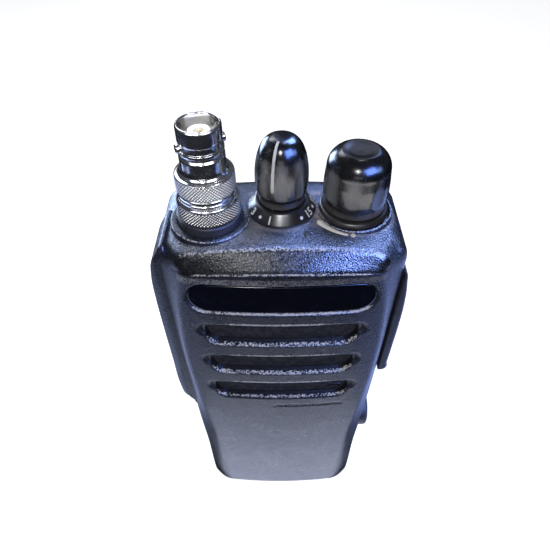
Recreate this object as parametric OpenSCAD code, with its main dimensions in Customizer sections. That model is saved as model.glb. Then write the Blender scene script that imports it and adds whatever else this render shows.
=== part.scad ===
// Handheld two way radio: housing, controls, antenna adapter, side keys, accessory cover and battery.
// Millimetres, +Z up, front towards -Y. The origin is under the middle of the foot that it stands on.

/* [Housing] */
// Height of the housing from its foot to the middle of its top
housing_h = 127.7; // [122:0.1:134]
// Depth of the whole radio from the front crown to the back of the battery
radio_d = 42; // [40:0.5:46]
// Depth of the housing from the front crown to the plane where the battery meets it
housing_d = 25; // [24:0.5:27]
// Half width of the housing at its foot
half_w_foot = 26.6; // [25.5:0.1:28]
// Half width at the lower bend of the sides
half_w_low = 28.8; // [28:0.1:29.5]
// Height of the lower bend of the sides
bend_low_z = 45; // [40:1:50]
// Half width at the upper bend of the sides
half_w_high = 29.6; // [29:0.1:30.5]
// Distance of the upper bend of the sides below the top
bend_high_drop = 20.7; // [18:0.1:24]
// Half width at the top edge
half_w_top = 28.2; // [27.5:0.1:29]
// Wall of the housing
wall = 2; // [1.8:0.1:2.4]
// Radius of the front's sideways crown
front_crown_r = 185; // [150:5:300]
// Radius of the top's sideways crown
top_crown_r = 200; // [160:5:300]
// Depth of the bevel along the top front edge
bevel_d = 4.2; // [3:0.1:5]
// Height of the bevel along the top front edge
bevel_h = 4.5; // [3:0.1:5]
// Depth of the top from the front crown to its back edge
top_d = 29.9; // [28:0.1:32]
// Distance of the shoulder that overhangs the battery below the top
shoulder_drop = 21.7; // [20:0.1:23]
// How far the shoulder's back edge stands in front of the battery's back
shoulder_inset = 4.5; // [3:0.1:6]
// Radius of the two back corners of the top
back_corner_r = 7; // [4:0.5:9]
// Bevel along the front edge of the foot
foot_bevel = 2; // [1:0.5:3]

/* [Front] */
// Half width of the flat front above the bend of its side chamfers
flat_half_w = 26.3; // [25.5:0.1:27]
// Half width of the flat front at the foot
flat_half_w_foot = 19.3; // [18:0.1:21]
// Distance below the top where the side chamfers start to widen
chamfer_bend_drop = 57.7; // [52:0.1:62]
// Depth of the side chamfers behind the front crown
chamfer_d = 6.5; // [6:0.1:7]
// Half width of the bare plate under the bevel
plate_half_w = 22.6; // [20:0.1:23]
// Height of the plate
plate_h = 9.4; // [8:0.1:9.8]
// Distance of the plate's middle below the top
plate_drop = 13.3; // [12.7:0.1:14.2]
// Thickness of the plate
plate_t = 0.8; // [0.6:0.1:1]
// How far the plate's face lies below the front
plate_sink = 0.15; // [0.1:0.05:0.3]
// Distance of the top grille slot's upper edge below the top
slot_drop = 22.8; // [22.2:0.1:23.7]
// Distance from one grille slot to the next
slot_pitch = 13.6; // [13:0.1:14]
// Half length of a grille slot
slot_half_l = 20.3; // [18:0.1:21]
// Height of the open part of a slot
slot_open_h = 4; // [3:0.1:4.4]
// Height of a slot with the ramp below its open part
slot_h = 7; // [6:0.1:7.4]
// Depth of the ramp where it meets the open part
ramp_d = 1.6; // [1:0.1:1.9]
// Distance of the microphone from the slots' right end
mic_inset = 4.5; // [3.3:0.1:4.9]
// Distance of the microphone below the top
mic_drop = 55.2; // [54.7:0.1:56.2]
// Left end of the label recess
label_x = -1.8; // [-4:0.1:0]
// Length of the label recess
label_l = 20.8; // [16:0.1:22]
// Height of the label recess
label_h = 1.6; // [1:0.1:2]
// Distance of the label recess's lower edge below the top
label_drop = 64.1; // [63.7:0.1:67.7]
// Depth of the label recess
label_d = 0.3; // [0.2:0.05:0.5]

/* [Antenna adapter] */
// Distance of the connector's axis from the middle
connector_x = -16.86; // [-18:0.01:-16]
// Depth of the connector's axis behind the front crown
connector_d = 15.3; // [14.5:0.1:16]
// Radius of the raised seat on the housing
antenna_seat_r = 9.4; // [9:0.1:10]
// How far that seat stands above the middle of the top
antenna_seat_h = 0.3; // [0.1:0.1:0.8]
// Radius of the dark ring under the adapter
seal_ring_r = 7.7; // [7.4:0.1:8.2]
// Thickness of the dark ring
seal_ring_t = 3.1; // [2.5:0.1:3.5]
// Depth that the dark ring sinks into its seat
seal_sink = 0.9; // [0.6:0.1:1.2]
// Radius of the knurled locking collar
collar_r = 7.3; // [7:0.1:7.6]
// Height of the locking collar
collar_h = 4.5; // [4:0.1:5]
// Radius of the plain band above the collar
band_r = 6.6; // [6.3:0.1:6.9]
// Height of the plain band
band_h = 2; // [1.5:0.1:2.5]
// Radius of the upper knurl
knurl_r = 6.75; // [6.4:0.05:7]
// Height of the upper knurl
knurl_h = 4.1; // [3.5:0.1:4.5]
// Radius of the connector's barrel
barrel_r = 5; // [4.97:0.01:5.1]
// Height of the barrel above the knurl
barrel_h = 5.5; // [5:0.1:6]
// Radius of the connector's mouth outside
mouth_r = 4.8; // [4.75:0.01:4.85]
// Height of the mouth above the barrel
mouth_h = 5.8; // [5.4:0.1:6.2]
// Radius of the socket inside the mouth
socket_r = 4.05; // [4:0.01:4.1]
// Radius of a bayonet lug
lug_r = 1; // [0.9:0.05:1.1]
// Distance of a lug's tip from the axis
lug_reach = 5.5; // [5.4:0.05:5.7]
// Distance of the lugs below the rim
lug_drop = 4.7; // [4.5:0.1:5]
// Direction of the lugs seen from above
lug_turn = 28; // [0:1:90]
// Radius of the threaded stud under the adapter
stud_r = 2.9; // [2.5:0.1:3]
// Length of the threaded stud
stud_l = 15; // [12:0.5:17]
// Radius of the connector's inner insulator
insulator_r = 2.4; // [2:0.1:2.8]
// Radius of the centre contact
contact_r = 1.05; // [0.9:0.05:1.1]

/* [Channel selector] */
// Distance of the selector's axis from the middle
channel_x = 0.1; // [-0.5:0.1:0.5]
// Depth of both knob axes behind the front crown
knob_d = 19.05; // [18.5:0.05:20]
// Radius of the dial ring's foot
dial_r = 8.3; // [8:0.1:8.5]
// Radius of the dial ring's upper edge
dial_top_r = 6.3; // [6:0.1:6.6]
// Height of the dial ring
dial_h = 2.9; // [2.6:0.1:3.2]
// Radius of the selector knob at its belly
channel_knob_r = 6.3; // [6:0.1:6.6]
// Radius of the selector knob's collar
channel_collar_r = 5.5; // [5.2:0.1:5.7]
// Height of the selector knob
channel_knob_h = 16.4; // [15:0.1:18]
// Number of flutes round the selector knob
flute_count = 9; // [6:1:12]
// Depth of a flute
flute_d = 0.35; // [0.2:0.05:0.5]

/* [Volume control] */
// Distance of the volume control's axis from the middle
volume_x = 17.5; // [17:0.1:18]
// Radius of the volume knob at its belly
volume_knob_r = 7.8; // [7.6:0.05:8.1]
// Radius of the volume knob's collar
volume_collar_r = 7.3; // [7:0.1:7.5]
// Height of the volume knob
volume_knob_h = 14.6; // [14:0.1:15.4]
// Radius of the ring under the volume knob
volume_ring_r = 8.6; // [8.3:0.1:8.9]
// Thickness of the ring under the volume knob
volume_ring_t = 1.4; // [1.2:0.1:1.6]
// Distance of the seat under that ring below the middle of the top
volume_seat_drop = 0.4; // [0.2:0.1:0.5]

/* [Controls inside] */
// Radius of both control shafts
shaft_r = 2; // [1.8:0.1:2.2]
// Radius of the threaded bushes that the shafts turn in
bush_r = 3; // [2.8:0.1:3.2]
// Radius of the nuts on the bushes
nut_r = 4.6; // [4.2:0.1:4.8]
// Thickness of the nuts
nut_t = 1.3; // [1:0.1:1.4]
// Width of the control bodies under the top
control_w = 12.6; // [11:0.1:13]
// Height of the control bodies
control_h = 11; // [9:0.1:12]
// Distance of the indicator lens from the middle
lens_x = 5.8; // [5.5:0.1:6.5]
// Depth of the indicator lens behind the front crown
lens_d = 8.7; // [8:0.1:9]
// Width of the indicator lens
lens_w = 2; // [1.6:0.1:2.4]
// Length of the indicator lens
lens_l = 2.8; // [2.4:0.1:3.2]

/* [Side keys] */
// How far the push to talk key and the accessory cover stand out of the housing's widest place
key_bulge = 2.7; // [2.4:0.1:3.4]
// How far the key frame stands below the keys
key_proud = 0.5; // [0.4:0.1:0.8]
// Depth of the keys' front edge behind the front crown
key_front_d = 8; // [7.8:0.1:8.5]
// Width of the keys from front to back
key_w = 11; // [10:0.1:12]
// Width of the frame round the keys
key_rim = 1.4; // [1:0.1:1.4]
// Distance of the push to talk key's lower end below the top
ptt_drop = 33.7; // [32.7:0.1:33.9]
// Height of the push to talk key
ptt_h = 23.5; // [20:0.1:24]
// Distance of the upper side button's lower end below the top
upper_key_drop = 48.2; // [47.7:0.1:48.7]
// Distance of the lower side button's lower end below the top
lower_key_drop = 63.2; // [62.7:0.1:63.7]
// Height of a side button
side_key_h = 11.5; // [10:0.1:12]
// Travel of the push to talk key
ptt_travel = 1; // [0.6:0.1:1.2]

/* [Accessory cover] */
// Height of the cover
cover_h = 45.1; // [43:0.1:46]
// Distance of the cover's upper end below the top
cover_drop = 9.7; // [8.7:0.1:11.7]
// Width of the cover from front to back
cover_w = 13; // [12:0.1:13.4]
// Depth of the cover's front edge behind the front crown
cover_front_d = 7; // [6.8:0.1:7.4]
// Thickness of the strap under the cover
strap_t = 0.8; // [0.6:0.1:1]
// Width of the strap
strap_w = 6; // [5:0.1:7]
// Height of the strap's anchor button
anchor_z = 39.2; // [38:0.1:40]
// Radius of the anchor button
anchor_r = 6.8; // [6:0.1:7]
// How far the anchor button stands out of the side
anchor_proud = 2.2; // [1.5:0.1:2.5]
// Depth of the sockets' axes behind the front crown
jack_d = 12.5; // [12:0.1:13]
// Distance of the large socket below the top
large_jack_drop = 23.7; // [23.2:0.1:24.2]
// Radius of the large socket
large_jack_r = 1.75; // [1.75:0.01:1.8]
// Distance of the small socket below the top
small_jack_drop = 35.2; // [34.7:0.1:35.7]
// Radius of the small socket
small_jack_r = 1.25; // [1.25:0.01:1.3]
// Depth of both sockets
jack_l = 10; // [8:0.5:11]

/* [Speaker and boards] */
// Radius of the speaker
speaker_r = 16; // [15:0.1:16.2]
// Distance of the speaker's middle below the top
speaker_drop = 39.7; // [39.2:0.1:40.2]
// Depth of the speaker's front behind the front crown
speaker_front_d = 3.5; // [3.3:0.1:3.8]
// Radius of the speaker's magnet
magnet_r = 8; // [6:0.1:9]
// Thickness of the speaker cloth
felt_t = 0.5; // [0.3:0.1:0.6]
// Radius of the microphone
mic_r = 2; // [1.8:0.1:2.5]
// Thickness of the main board
board_t = 1.6; // [1.2:0.1:2]
// Depth of the main board's front behind the front crown
board_d = 16.4; // [16.2:0.1:16.8]
// Half width of the main board
board_half_w = 24; // [22:0.1:24.2]
// Lower edge of the main board
board_z = 7; // [6:0.5:9]
// Distance of the main board's upper edge below the top
board_drop = 16.7; // [16:0.1:22]
// Thickness of the chassis with its rim
chassis_t = 3.4; // [3:0.1:3.6]
// Thickness of the chassis plate
plate_back_t = 1.6; // [1.2:0.1:2]

/* [Battery] */
// Wall of the battery case
case_wall = 1.6; // [1.2:0.1:2]
// How far the battery's sides stand back from the housing's sides
case_inset = 0.6; // [0.4:0.1:1]
// Bevel along the upright back edges of the battery
case_bevel = 5; // [4:0.1:6]
// Height of the bevel along the battery's foot and top
case_end_bevel = 7; // [5:0.1:8]
// Thickness of the battery's inner lid
lid_t = 1.4; // [1.2:0.1:1.8]
// Room left behind the cells
cell_room = 2.3; // [1.8:0.1:4]
// Width of a cell
cell_w = 44; // [40:0.5:45]
// Height of the battery's hinge line above the foot
battery_hinge_z = 4.5; // [4.2:0.1:5]
// Radius of the battery's two hinge noses
nose_r = 0.9; // [0.8:0.05:1]
// Width of a hinge nose
nose_w = 6; // [4:0.1:8]
// Distance of a hinge nose from the middle
nose_x = 17; // [16:0.1:18]
// Distance of the battery latches' lower end below the battery's top
latch_drop = 21.5; // [19.5:0.1:23.5]
// Height of a battery latch's grip
latch_h = 13; // [11:0.1:13.5]
// Width of a battery latch from front to back
latch_w = 6; // [5:0.1:6.5]
// Thickness of a battery latch
latch_t = 2.4; // [2:0.1:2.6]
// Travel of a battery latch
latch_travel = 3; // [2:0.1:3.4]

/* [Clearances] */
// Gap between fixed pieces that are fitted into each other
fit_gap = 0.1; // [0.05:0.01:0.15]
// Gap round a shaft that turns in its bush
run_gap = 0.05; // [0.03:0.01:0.08]
// Gap round a key in its frame
key_gap = 0.2; // [0.15:0.05:0.3]
// Gap round a shaft that a knob is pushed onto
press_gap = 0.02; // [0.02:0.01:0.04]
// Gap between pieces that swing apart
swing_gap = 0.3; // [0.25:0.05:0.4]

/* [Hidden] */
$fn = 64;
big = 400;
front_y = -radio_d / 2;
back_y = radio_d / 2;
part_y = front_y + housing_d;
top_back_y = front_y + top_d;
shoulder_back_y = back_y - shoulder_inset;
shoulder_z = housing_h - shoulder_drop;
bend_high_z = housing_h - bend_high_drop;
chamfer_bend_z = housing_h - chamfer_bend_drop;
plate_z = housing_h - plate_drop;
slot_top_z = housing_h - slot_drop;
label_z = housing_h - label_drop;
top_under_z = housing_h - wall;
back_lean = atan((shoulder_back_y - top_back_y) / (housing_h - shoulder_z));
knob_y = front_y + knob_d;
connector_y = front_y + connector_d;
lens_y = front_y + lens_d;
slot_tops = [for (i = [0:2]) slot_top_z - i * slot_pitch];
// Bevels are cut at about half a right angle, so an inner wall moves along them by this share
bevel_shift = sqrt(2) - 1;

// Antenna adapter heights, from its seat upwards
antenna_seat_z = housing_h + antenna_seat_h;
seal_z = antenna_seat_z - seal_sink;
collar_z = seal_z + seal_ring_t + fit_gap;
band_z = collar_z + collar_h;
knurl_z = band_z + band_h;
barrel_z = knurl_z + knurl_h;
mouth_z = barrel_z + barrel_h;
rim_z = mouth_z + mouth_h;
rim_chamfer = 0.3;
// The mouth is turned smaller from the lugs down, so a plug is guided above them
lug_step = 0.2;
guide_z = rim_z - lug_drop + lug_r + fit_gap;
hub_r = 5;
socket_floor_z = barrel_z + 1;
insulator_foot_h = 1.5;
insulator_drop = 1.7;
contact_drop = 2.5;
pin_hole_r = 0.65;
jack_bush_r = 4.5;
jack_bush_h = 12;
jack_flange_t = 2;
jack_flange_w = 1.2;
jack_flange_z = under_z(abs(connector_x) + jack_bush_r + jack_flange_w) - jack_flange_t - fit_gap;

// Control heights, from the dial's seat upwards
dial_seat_z = housing_h - 0.2;
dial_bore_r = nut_r + 3 * fit_gap;
channel_knob_z = dial_seat_z + dial_h + swing_gap;
volume_seat_z = housing_h - volume_seat_drop;
volume_knob_z = volume_seat_z + volume_ring_t + swing_gap;
shaft_sink = 4;
knob_socket = 8;

// Side keys and the cover
key_half_w = half_w_high + key_bulge;
key_y = front_y + key_front_d;
ptt_z = housing_h - ptt_drop;
upper_key_z = housing_h - upper_key_drop;
lower_key_z = housing_h - lower_key_drop;
key_mid_y = key_y + key_w / 2;
key_boards_x = half_w_high - wall - 2.2;
key_board_t = 0.8;
key_switch_h = 1.3;
key_stem_gap = 0.1;
key_stem_r = 1.5;
switch_y = key_mid_y - 1.5;
switch_w = 4;
switch_post_r = 1;
switch_board_w = 6;
side_travel = 0.7 * ptt_travel;
frame_half_w = key_half_w - key_proud;
frame_lo_z = lower_key_z - 8.5;
frame_hi_z = ptt_z + ptt_h + 7.5;
cover_y = front_y + cover_front_d;
cover_top_z = housing_h - cover_drop;
cover_z = cover_top_z - cover_h;
jack_y = front_y + jack_d;
large_jack_z = housing_h - large_jack_drop;
small_jack_z = housing_h - small_jack_drop;
jack_block_l = 16.6;
jack_inner_x = half_w_high - jack_block_l;
jack_sink = 0.2;
jack_wall = 1.2;
jack_block_edge = 5;
jack_block_half_d = 3.2;
anchor_stem_r = 2.4;
anchor_y = cover_y + cover_w / 2;
cover_hinge_x = half_w(cover_z) + 1.2;
cover_hinge_z = cover_z - 0.5;

// Speaker, microphone and boards
speaker_y = front_y + speaker_front_d;
speaker_z = housing_h - speaker_drop;
basket_d = 4.5;
basket_t = 1;
flange_y = speaker_y + 2.3;
speaker_screw_x = 19;
speaker_screw_dz = 6.7;
magnet_d = 4;
screw_r = 0.9;
head_r = 1.7;
head_t = 1.2;
board_y = front_y + board_d;
board_screw_x = 19;
board_h = housing_h - board_drop - board_z;
board_screws_z = [board_z + 5, small_jack_z - jack_block_edge - 2 * head_r];
board_post_r = 2.4;
chassis_y = part_y - chassis_t;
seal_w = 1;
foot_screw_x = 8;
// The foot screws pass behind the sealing cord and stay in front of the battery
foot_head_r = 1.1;
foot_screw_r = 0.65;
foot_screw_y = part_y - foot_head_r - 3 * fit_gap;
foot_head_top = 1.3;
foot_screw_l = 5;
mic_boot_t = 0.6;
mic_tube_t = 1;
mic_x = slot_half_l - mic_inset;
mic_y = front_y + wall + 1;
mic_z = housing_h - mic_drop;

// Battery
battery_y = part_y + swing_gap;
battery_top_z = shoulder_z - 0.5;
cell_y = battery_y + lid_t + 0.4;
cell_t = back_y - case_wall - cell_room - cell_y;
cells_foot_z = 6;
cells_head = 7.5;
cell_split = 2;
cell_h = (battery_top_z - cells_head - cells_foot_z - cell_split) / 2;
cells_z = [cells_foot_z, cells_foot_z + cell_h + cell_split];
nose_y = part_y - nose_r;
// The battery's foot is cut back in front, so that it clears the housing as it tips
foot_lead = 2;
lid_z = battery_hinge_z - 0.5 + case_wall + fit_gap;
latch_y = back_y - case_bevel - latch_w - 0.7;
latch_z = battery_top_z - latch_drop;
latch_x = half_w_low - latch_t - 1.2;
latch_hook_t = 1.2;
hook_step = 1;
pad_xs = [-9, -3, 3, 9];
spring_w = 2;
spring_h = 5;
pad_w = 3;
pad_h = 6;
charge_pad_w = 4;
charge_pad_h = 5;
pad_t = 0.3;
pad_drop = 13.5;
pad_z = battery_top_z - pad_drop;
charge_pad_z = 14;

function blend(a, b, t) = a + (b - a) * t;

// Half width of the housing's side at a height
function half_w(z) =
    z < bend_low_z ? blend(half_w_foot, half_w_low, z / bend_low_z) :
    z < bend_high_z ? blend(half_w_low, half_w_high, (z - bend_low_z) / (bend_high_z - bend_low_z)) :
    blend(half_w_high, half_w_top, (z - bend_high_z) / (housing_h - bend_high_z));

// Height of the crowned top's underside at a distance from the middle
function under_z(x) = housing_h - top_crown_r + sqrt(pow(top_crown_r - wall, 2) - x * x);

// Top of a control's body, clear of the underside at its outer edge
function control_top(x) = under_z(abs(x) + control_w / 2) - 3 * fit_gap;

// Place of the crowned front at a distance from the middle
function crown_y(x) = front_y + front_crown_r - sqrt(front_crown_r * front_crown_r - x * x);

function unit(v) = v / norm(v);

function mirrored(points) = [for (i = [len(points) - 1:-1:0]) [-points[i][0], points[i][1]]];

// Outline seen from the front between two heights, drawn in from the sides
module front_outline(inset, z0, z1) {
    levels = concat([z0], [for (z = [bend_low_z, bend_high_z]) if (z > z0 && z < z1) z], [z1]);
    right = [for (z = levels) [half_w(z) - inset, z]];
    polygon(concat(right, mirrored(right)));
}

// Carries a shape drawn in X and Z through a stretch of depth
module through_depth(y0, y1) {
    translate([0, y1, 0]) rotate([90, 0, 0]) linear_extrude(y1 - y0) children();
}

// Carries a shape drawn in Y and Z through the whole width, or a stretch of it
module through_width(w = big) {
    rotate([90, 0, 90]) linear_extrude(w, center = true) children();
}

module along_y(x, z, r, y0, y1) {
    translate([x, y1, z]) rotate([90, 0, 0]) cylinder(r = r, h = y1 - y0);
}

module along_x(y, z, r, x0, x1) {
    translate([x0, y, z]) rotate([0, 90, 0]) cylinder(r = r, h = x1 - x0);
}

module box(x0, x1, y0, y1, z0, z1) {
    translate([x0, y0, z0]) cube([x1 - x0, y1 - y0, z1 - z0]);
}

module both_sides() {
    children();
    mirror([1, 0, 0]) children();
}

// Everything on the outer side of a plane through three points, moved inwards by a wall
module beyond(p, q, r, inset) {
    n = unit(cross(q - p, r - p));
    translate(p - n * inset) rotate([0, acos(n[2]), atan2(n[1], n[0])])
        translate([-big / 2, -big / 2, 0]) cube(big);
}

// Stadium in X and Z, given by half its length and its height
module stadium(half_l, h) {
    square([2 * half_l - h, h], center = true);
    for (s = [-1, 1]) translate([s * (half_l - h / 2), 0]) circle(r = h / 2);
}

// Layer that follows the crowned front between two depths
module crown_layer(d0, d1) {
    translate([0, front_y + front_crown_r, -1]) difference() {
        cylinder(r = front_crown_r - d0, h = housing_h + 2, $fn = 256);
        translate([0, 0, -1]) cylinder(r = front_crown_r - d1, h = housing_h + 4, $fn = 256);
    }
}

// Side view of the housing: bevelled top front, leaning back, shoulder over the battery
module housing_profile(inset) {
    i = inset;
    s = inset * bevel_shift;
    inner = inset > 0;
    polygon([
        [front_y + i + foot_bevel, i],
        [front_y + i, i + foot_bevel],
        [front_y + i, housing_h - bevel_h - s],
        [front_y + bevel_d + s, housing_h - i],
        [top_back_y - i, housing_h - i],
        [shoulder_back_y - i, shoulder_z + i],
        [inner ? chassis_y : shoulder_back_y, shoulder_z + i],
        [inner ? chassis_y : part_y, shoulder_z],
        [inner ? part_y + 1 : part_y, shoulder_z],
        [inner ? part_y + 1 : part_y, i]
    ]);
}

// The housing as a full body, or as the hollow inside a wall
module housing_form(inset) {
    upper = [flat_half_w, crown_y(flat_half_w), chamfer_bend_z];
    upper_out = [half_w_high, front_y + chamfer_d, chamfer_bend_z];
    lower = [flat_half_w_foot, crown_y(flat_half_w_foot), 0];
    lower_out = [half_w_foot, front_y + chamfer_d, 0];
    difference() {
        intersection() {
            through_depth(-big / 2, big / 2) front_outline(inset, inset, housing_h);
            through_width() housing_profile(inset);
            translate([0, front_y + front_crown_r, -1])
                cylinder(r = front_crown_r - inset, h = housing_h + 2, $fn = 256);
            translate([0, big / 2, housing_h - top_crown_r]) rotate([90, 0, 0])
                cylinder(r = top_crown_r - inset, h = big, $fn = 256);
        }
        both_sides() {
            beyond(upper, upper_out, upper + [0, 0, 1], inset);
            beyond(upper, lower, lower_out, inset);
        }
        translate([0, top_back_y - inset, housing_h]) rotate([back_lean, 0, 0]) both_sides()
            translate([half_w_high - inset - back_corner_r, -back_corner_r, -big / 4])
                linear_extrude(big / 2) difference() {
                    square(2 * back_corner_r);
                    circle(r = back_corner_r);
                }
    }
}

// One grille slot: an open stadium with a ramp up to the front below it
module grille_slot(top_z) {
    through_depth(front_y - 1, front_y + wall + 2)
        translate([0, top_z - slot_open_h / 2]) stadium(slot_half_l, slot_open_h);
    slope = (slot_h - slot_open_h) / ramp_d;
    reach = 2;
    through_width(2 * slot_half_l - slot_open_h) polygon([
        [front_y - reach, top_z - slot_open_h / 2],
        [front_y + ramp_d, top_z - slot_open_h / 2],
        [front_y + ramp_d, top_z - slot_open_h],
        [front_y - reach, top_z - slot_h - reach * slope]
    ]);
}

// Raised round seats on the top for the adapter and the two controls
module top_seats() {
    root_z = housing_h - wall - 0.7;
    translate([connector_x, connector_y, root_z]) cylinder(r = antenna_seat_r, h = antenna_seat_z - root_z);
    translate([volume_x, knob_y, root_z])
        cylinder(r = volume_ring_r + 3 * fit_gap, h = volume_seat_z - root_z);
}

// Posts and tubes inside the housing that carry the speaker, microphone and side switches
module inner_posts() {
    intersection() {
        union() {
            for (x = [-1, 1], dz = [-1, 1])
                along_y(x * speaker_screw_x, speaker_z + dz * speaker_screw_dz, head_r, front_y, flange_y);
            along_y(mic_x, mic_z, mic_r + mic_boot_t + fit_gap + mic_tube_t, front_y, front_y + wall + 4);
        }
        housing_form(wall / 2);
    }
    for (z = [(ptt_z + upper_key_z + side_key_h) / 2, (upper_key_z + lower_key_z + side_key_h) / 2])
        along_x(switch_y, z, switch_post_r, -half_w(z) + wall / 2, -key_boards_x);
}

// Round hole through the top wall and its seat
module top_bore(x, y, r) {
    translate([x, y, top_under_z - 2 * wall]) cylinder(r = r, h = 6 * wall);
}

module housing_openings() {
    for (z = slot_tops) grille_slot(z);
    intersection() {
        crown_layer(-1, plate_sink + plate_t);
        through_depth(front_y - 1, 0) translate([0, plate_z])
            stadium(plate_half_w + fit_gap, plate_h + 2 * fit_gap);
    }
    intersection() {
        crown_layer(-1, label_d);
        box(label_x, label_x + label_l, front_y - 1, 0, label_z, label_z + label_h);
    }
    for (x = [-1, 1], dz = [-1, 1])
        along_y(x * speaker_screw_x, speaker_z + dz * speaker_screw_dz, screw_r, front_y + wall + 1, 0);
    along_y(mic_x, mic_z, mic_r + mic_boot_t + fit_gap, front_y + wall + 0.8, 0);
    along_y(mic_x, mic_z, 1, front_y - 1, 0);
    top_bore(connector_x, connector_y, jack_bush_r + fit_gap);
    top_bore(channel_x, knob_y, bush_r + fit_gap);
    top_bore(volume_x, knob_y, bush_r + fit_gap);
    translate([connector_x, connector_y, seal_z]) cylinder(r = seal_ring_r + fit_gap, h = wall * 4);
    translate([channel_x, knob_y, dial_seat_z]) cylinder(r = dial_r + fit_gap, h = wall * 4);
    translate([volume_x, knob_y, volume_seat_z]) cylinder(r = volume_ring_r + fit_gap, h = wall * 4);
    box(lens_x - lens_w / 2 - fit_gap, lens_x + lens_w / 2 + fit_gap,
        lens_y - lens_l / 2 - fit_gap, lens_y + lens_l / 2 + fit_gap, top_under_z - 1, big);
    key_window(ptt_z, ptt_h, key_gap);
    key_window(upper_key_z, side_key_h, key_gap);
    key_window(lower_key_z, side_key_h, key_gap);
    for (j = [[large_jack_z, large_jack_r], [small_jack_z, small_jack_r]])
        along_x(jack_y, j[0], j[1] + jack_wall + fit_gap, key_boards_x, key_half_w);
    along_x(anchor_y, anchor_z, anchor_stem_r + fit_gap, half_w_foot - 2 * wall, key_half_w);
    for (x = [-1, 1]) translate([x * foot_screw_x, foot_screw_y, -1]) {
        cylinder(r = foot_head_r + fit_gap, h = 1 + foot_head_top);
        cylinder(r = foot_screw_r + fit_gap, h = 1 + wall + 1);
    }
}

module front_housing() color([0.10, 0.10, 0.12]) difference() {
    union() {
        difference() {
            union() {
                housing_form(0);
                top_seats();
            }
            housing_form(wall);
        }
        inner_posts();
    }
    housing_openings();
}

module name_plate() color([0.03, 0.05, 0.10]) intersection() {
    crown_layer(plate_sink, plate_sink + plate_t);
    through_depth(front_y - 1, 0) translate([0, plate_z]) stadium(plate_half_w, plate_h);
}

module speaker_cloth() color([0.05, 0.05, 0.05]) difference() {
    intersection() {
        crown_layer(wall + fit_gap, wall + fit_gap + felt_t);
        box(-slot_half_l - 1.5, slot_half_l + 1.5, front_y, 0,
            slot_tops[2] - slot_open_h - 2, slot_top_z + 1.5);
    }
    for (x = [-1, 1], dz = [-1, 1])
        along_y(x * speaker_screw_x, speaker_z + dz * speaker_screw_dz, head_r + fit_gap, front_y, 0);
    along_y(mic_x, mic_z, mic_r + mic_boot_t + mic_tube_t + 2 * fit_gap, front_y, 0);
}

// Round pieces of the speaker are turned about its own axis and then laid along +Y
module on_speaker_axis() {
    translate([0, speaker_y, speaker_z]) rotate([-90, 0, 0]) children();
}

module speaker_basket() color([0.55, 0.56, 0.58]) difference() {
    union() {
        on_speaker_axis() cylinder(r = speaker_r, h = basket_d + basket_t);
        box(-speaker_screw_x - head_r, speaker_screw_x + head_r, flange_y, flange_y + basket_t,
            speaker_z - speaker_screw_dz - head_r, speaker_z + speaker_screw_dz + head_r);
    }
    on_speaker_axis() {
        translate([0, 0, -1]) cylinder(r = speaker_r - 1.4, h = basket_d + 1);
        cylinder(r = magnet_r - 1.5, h = big / 4);
    }
    for (x = [-1, 1], dz = [-1, 1])
        along_y(x * speaker_screw_x, speaker_z + dz * speaker_screw_dz, screw_r + fit_gap, front_y, 0);
}

module speaker_cone() color([0.15, 0.15, 0.16]) on_speaker_axis() {
    rim_r = speaker_r - 1.4 - fit_gap;
    neck_r = magnet_r - 2;
    rotate_extrude() polygon([
        [rim_r, 0.6], [rim_r, 1.1], [rim_r - 1.5, 1.1], [neck_r, basket_d - 0.3],
        [0, basket_d - 0.9], [0, basket_d - 1.4], [neck_r - 0.4, basket_d - 0.8], [rim_r - 1.7, 0.6]
    ]);
}

module speaker_magnet() color([0.35, 0.35, 0.37]) on_speaker_axis()
    translate([0, 0, basket_d + basket_t]) cylinder(r = magnet_r, h = magnet_d);

module speaker_screws() color([0.7, 0.7, 0.72]) for (x = [-1, 1], dz = [-1, 1]) {
    z = speaker_z + dz * speaker_screw_dz;
    along_y(x * speaker_screw_x, z, screw_r - fit_gap, front_y + wall + 1.2, flange_y + basket_t);
    along_y(x * speaker_screw_x, z, head_r, flange_y + basket_t, flange_y + basket_t + head_t);
}

module microphone() color([0.6, 0.6, 0.62])
    along_y(mic_x, mic_z, mic_r - fit_gap, mic_y + 0.8, mic_y + 3.2);

module microphone_boot() color([0.08, 0.08, 0.08]) difference() {
    along_y(mic_x, mic_z, mic_r + mic_boot_t, mic_y, mic_y + 3.6);
    along_y(mic_x, mic_z, mic_r, mic_y + 0.7, mic_y + 5);
    along_y(mic_x, mic_z, 1, mic_y - 1, mic_y + 5);
}

module main_board() color([0.05, 0.30, 0.16]) difference() {
    box(-board_half_w, board_half_w, board_y, board_y + board_t, board_z, board_z + board_h);
    for (x = [-1, 1], z = board_screws_z)
        along_y(x * board_screw_x, z, screw_r + fit_gap, board_y - 1, part_y);
}

module board_shield() color([0.75, 0.76, 0.77]) {
    shield_half_w = 15;
    shield_h = 40;
    shield_d = 3;
    shield_z = board_z + 9;
    box(-shield_half_w, shield_half_w, board_y - shield_d, board_y, shield_z, shield_z + shield_h);
}

module board_screws() color([0.7, 0.7, 0.72]) for (x = [-1, 1], z = board_screws_z) {
    along_y(x * board_screw_x, z, screw_r - fit_gap, board_y, chassis_y);
    along_y(x * board_screw_x, z, head_r, board_y - head_t, board_y);
}

// Outline of what closes the back of the housing
module back_outline(inset) {
    front_outline(wall + inset, wall + inset, shoulder_z - inset);
}

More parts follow.
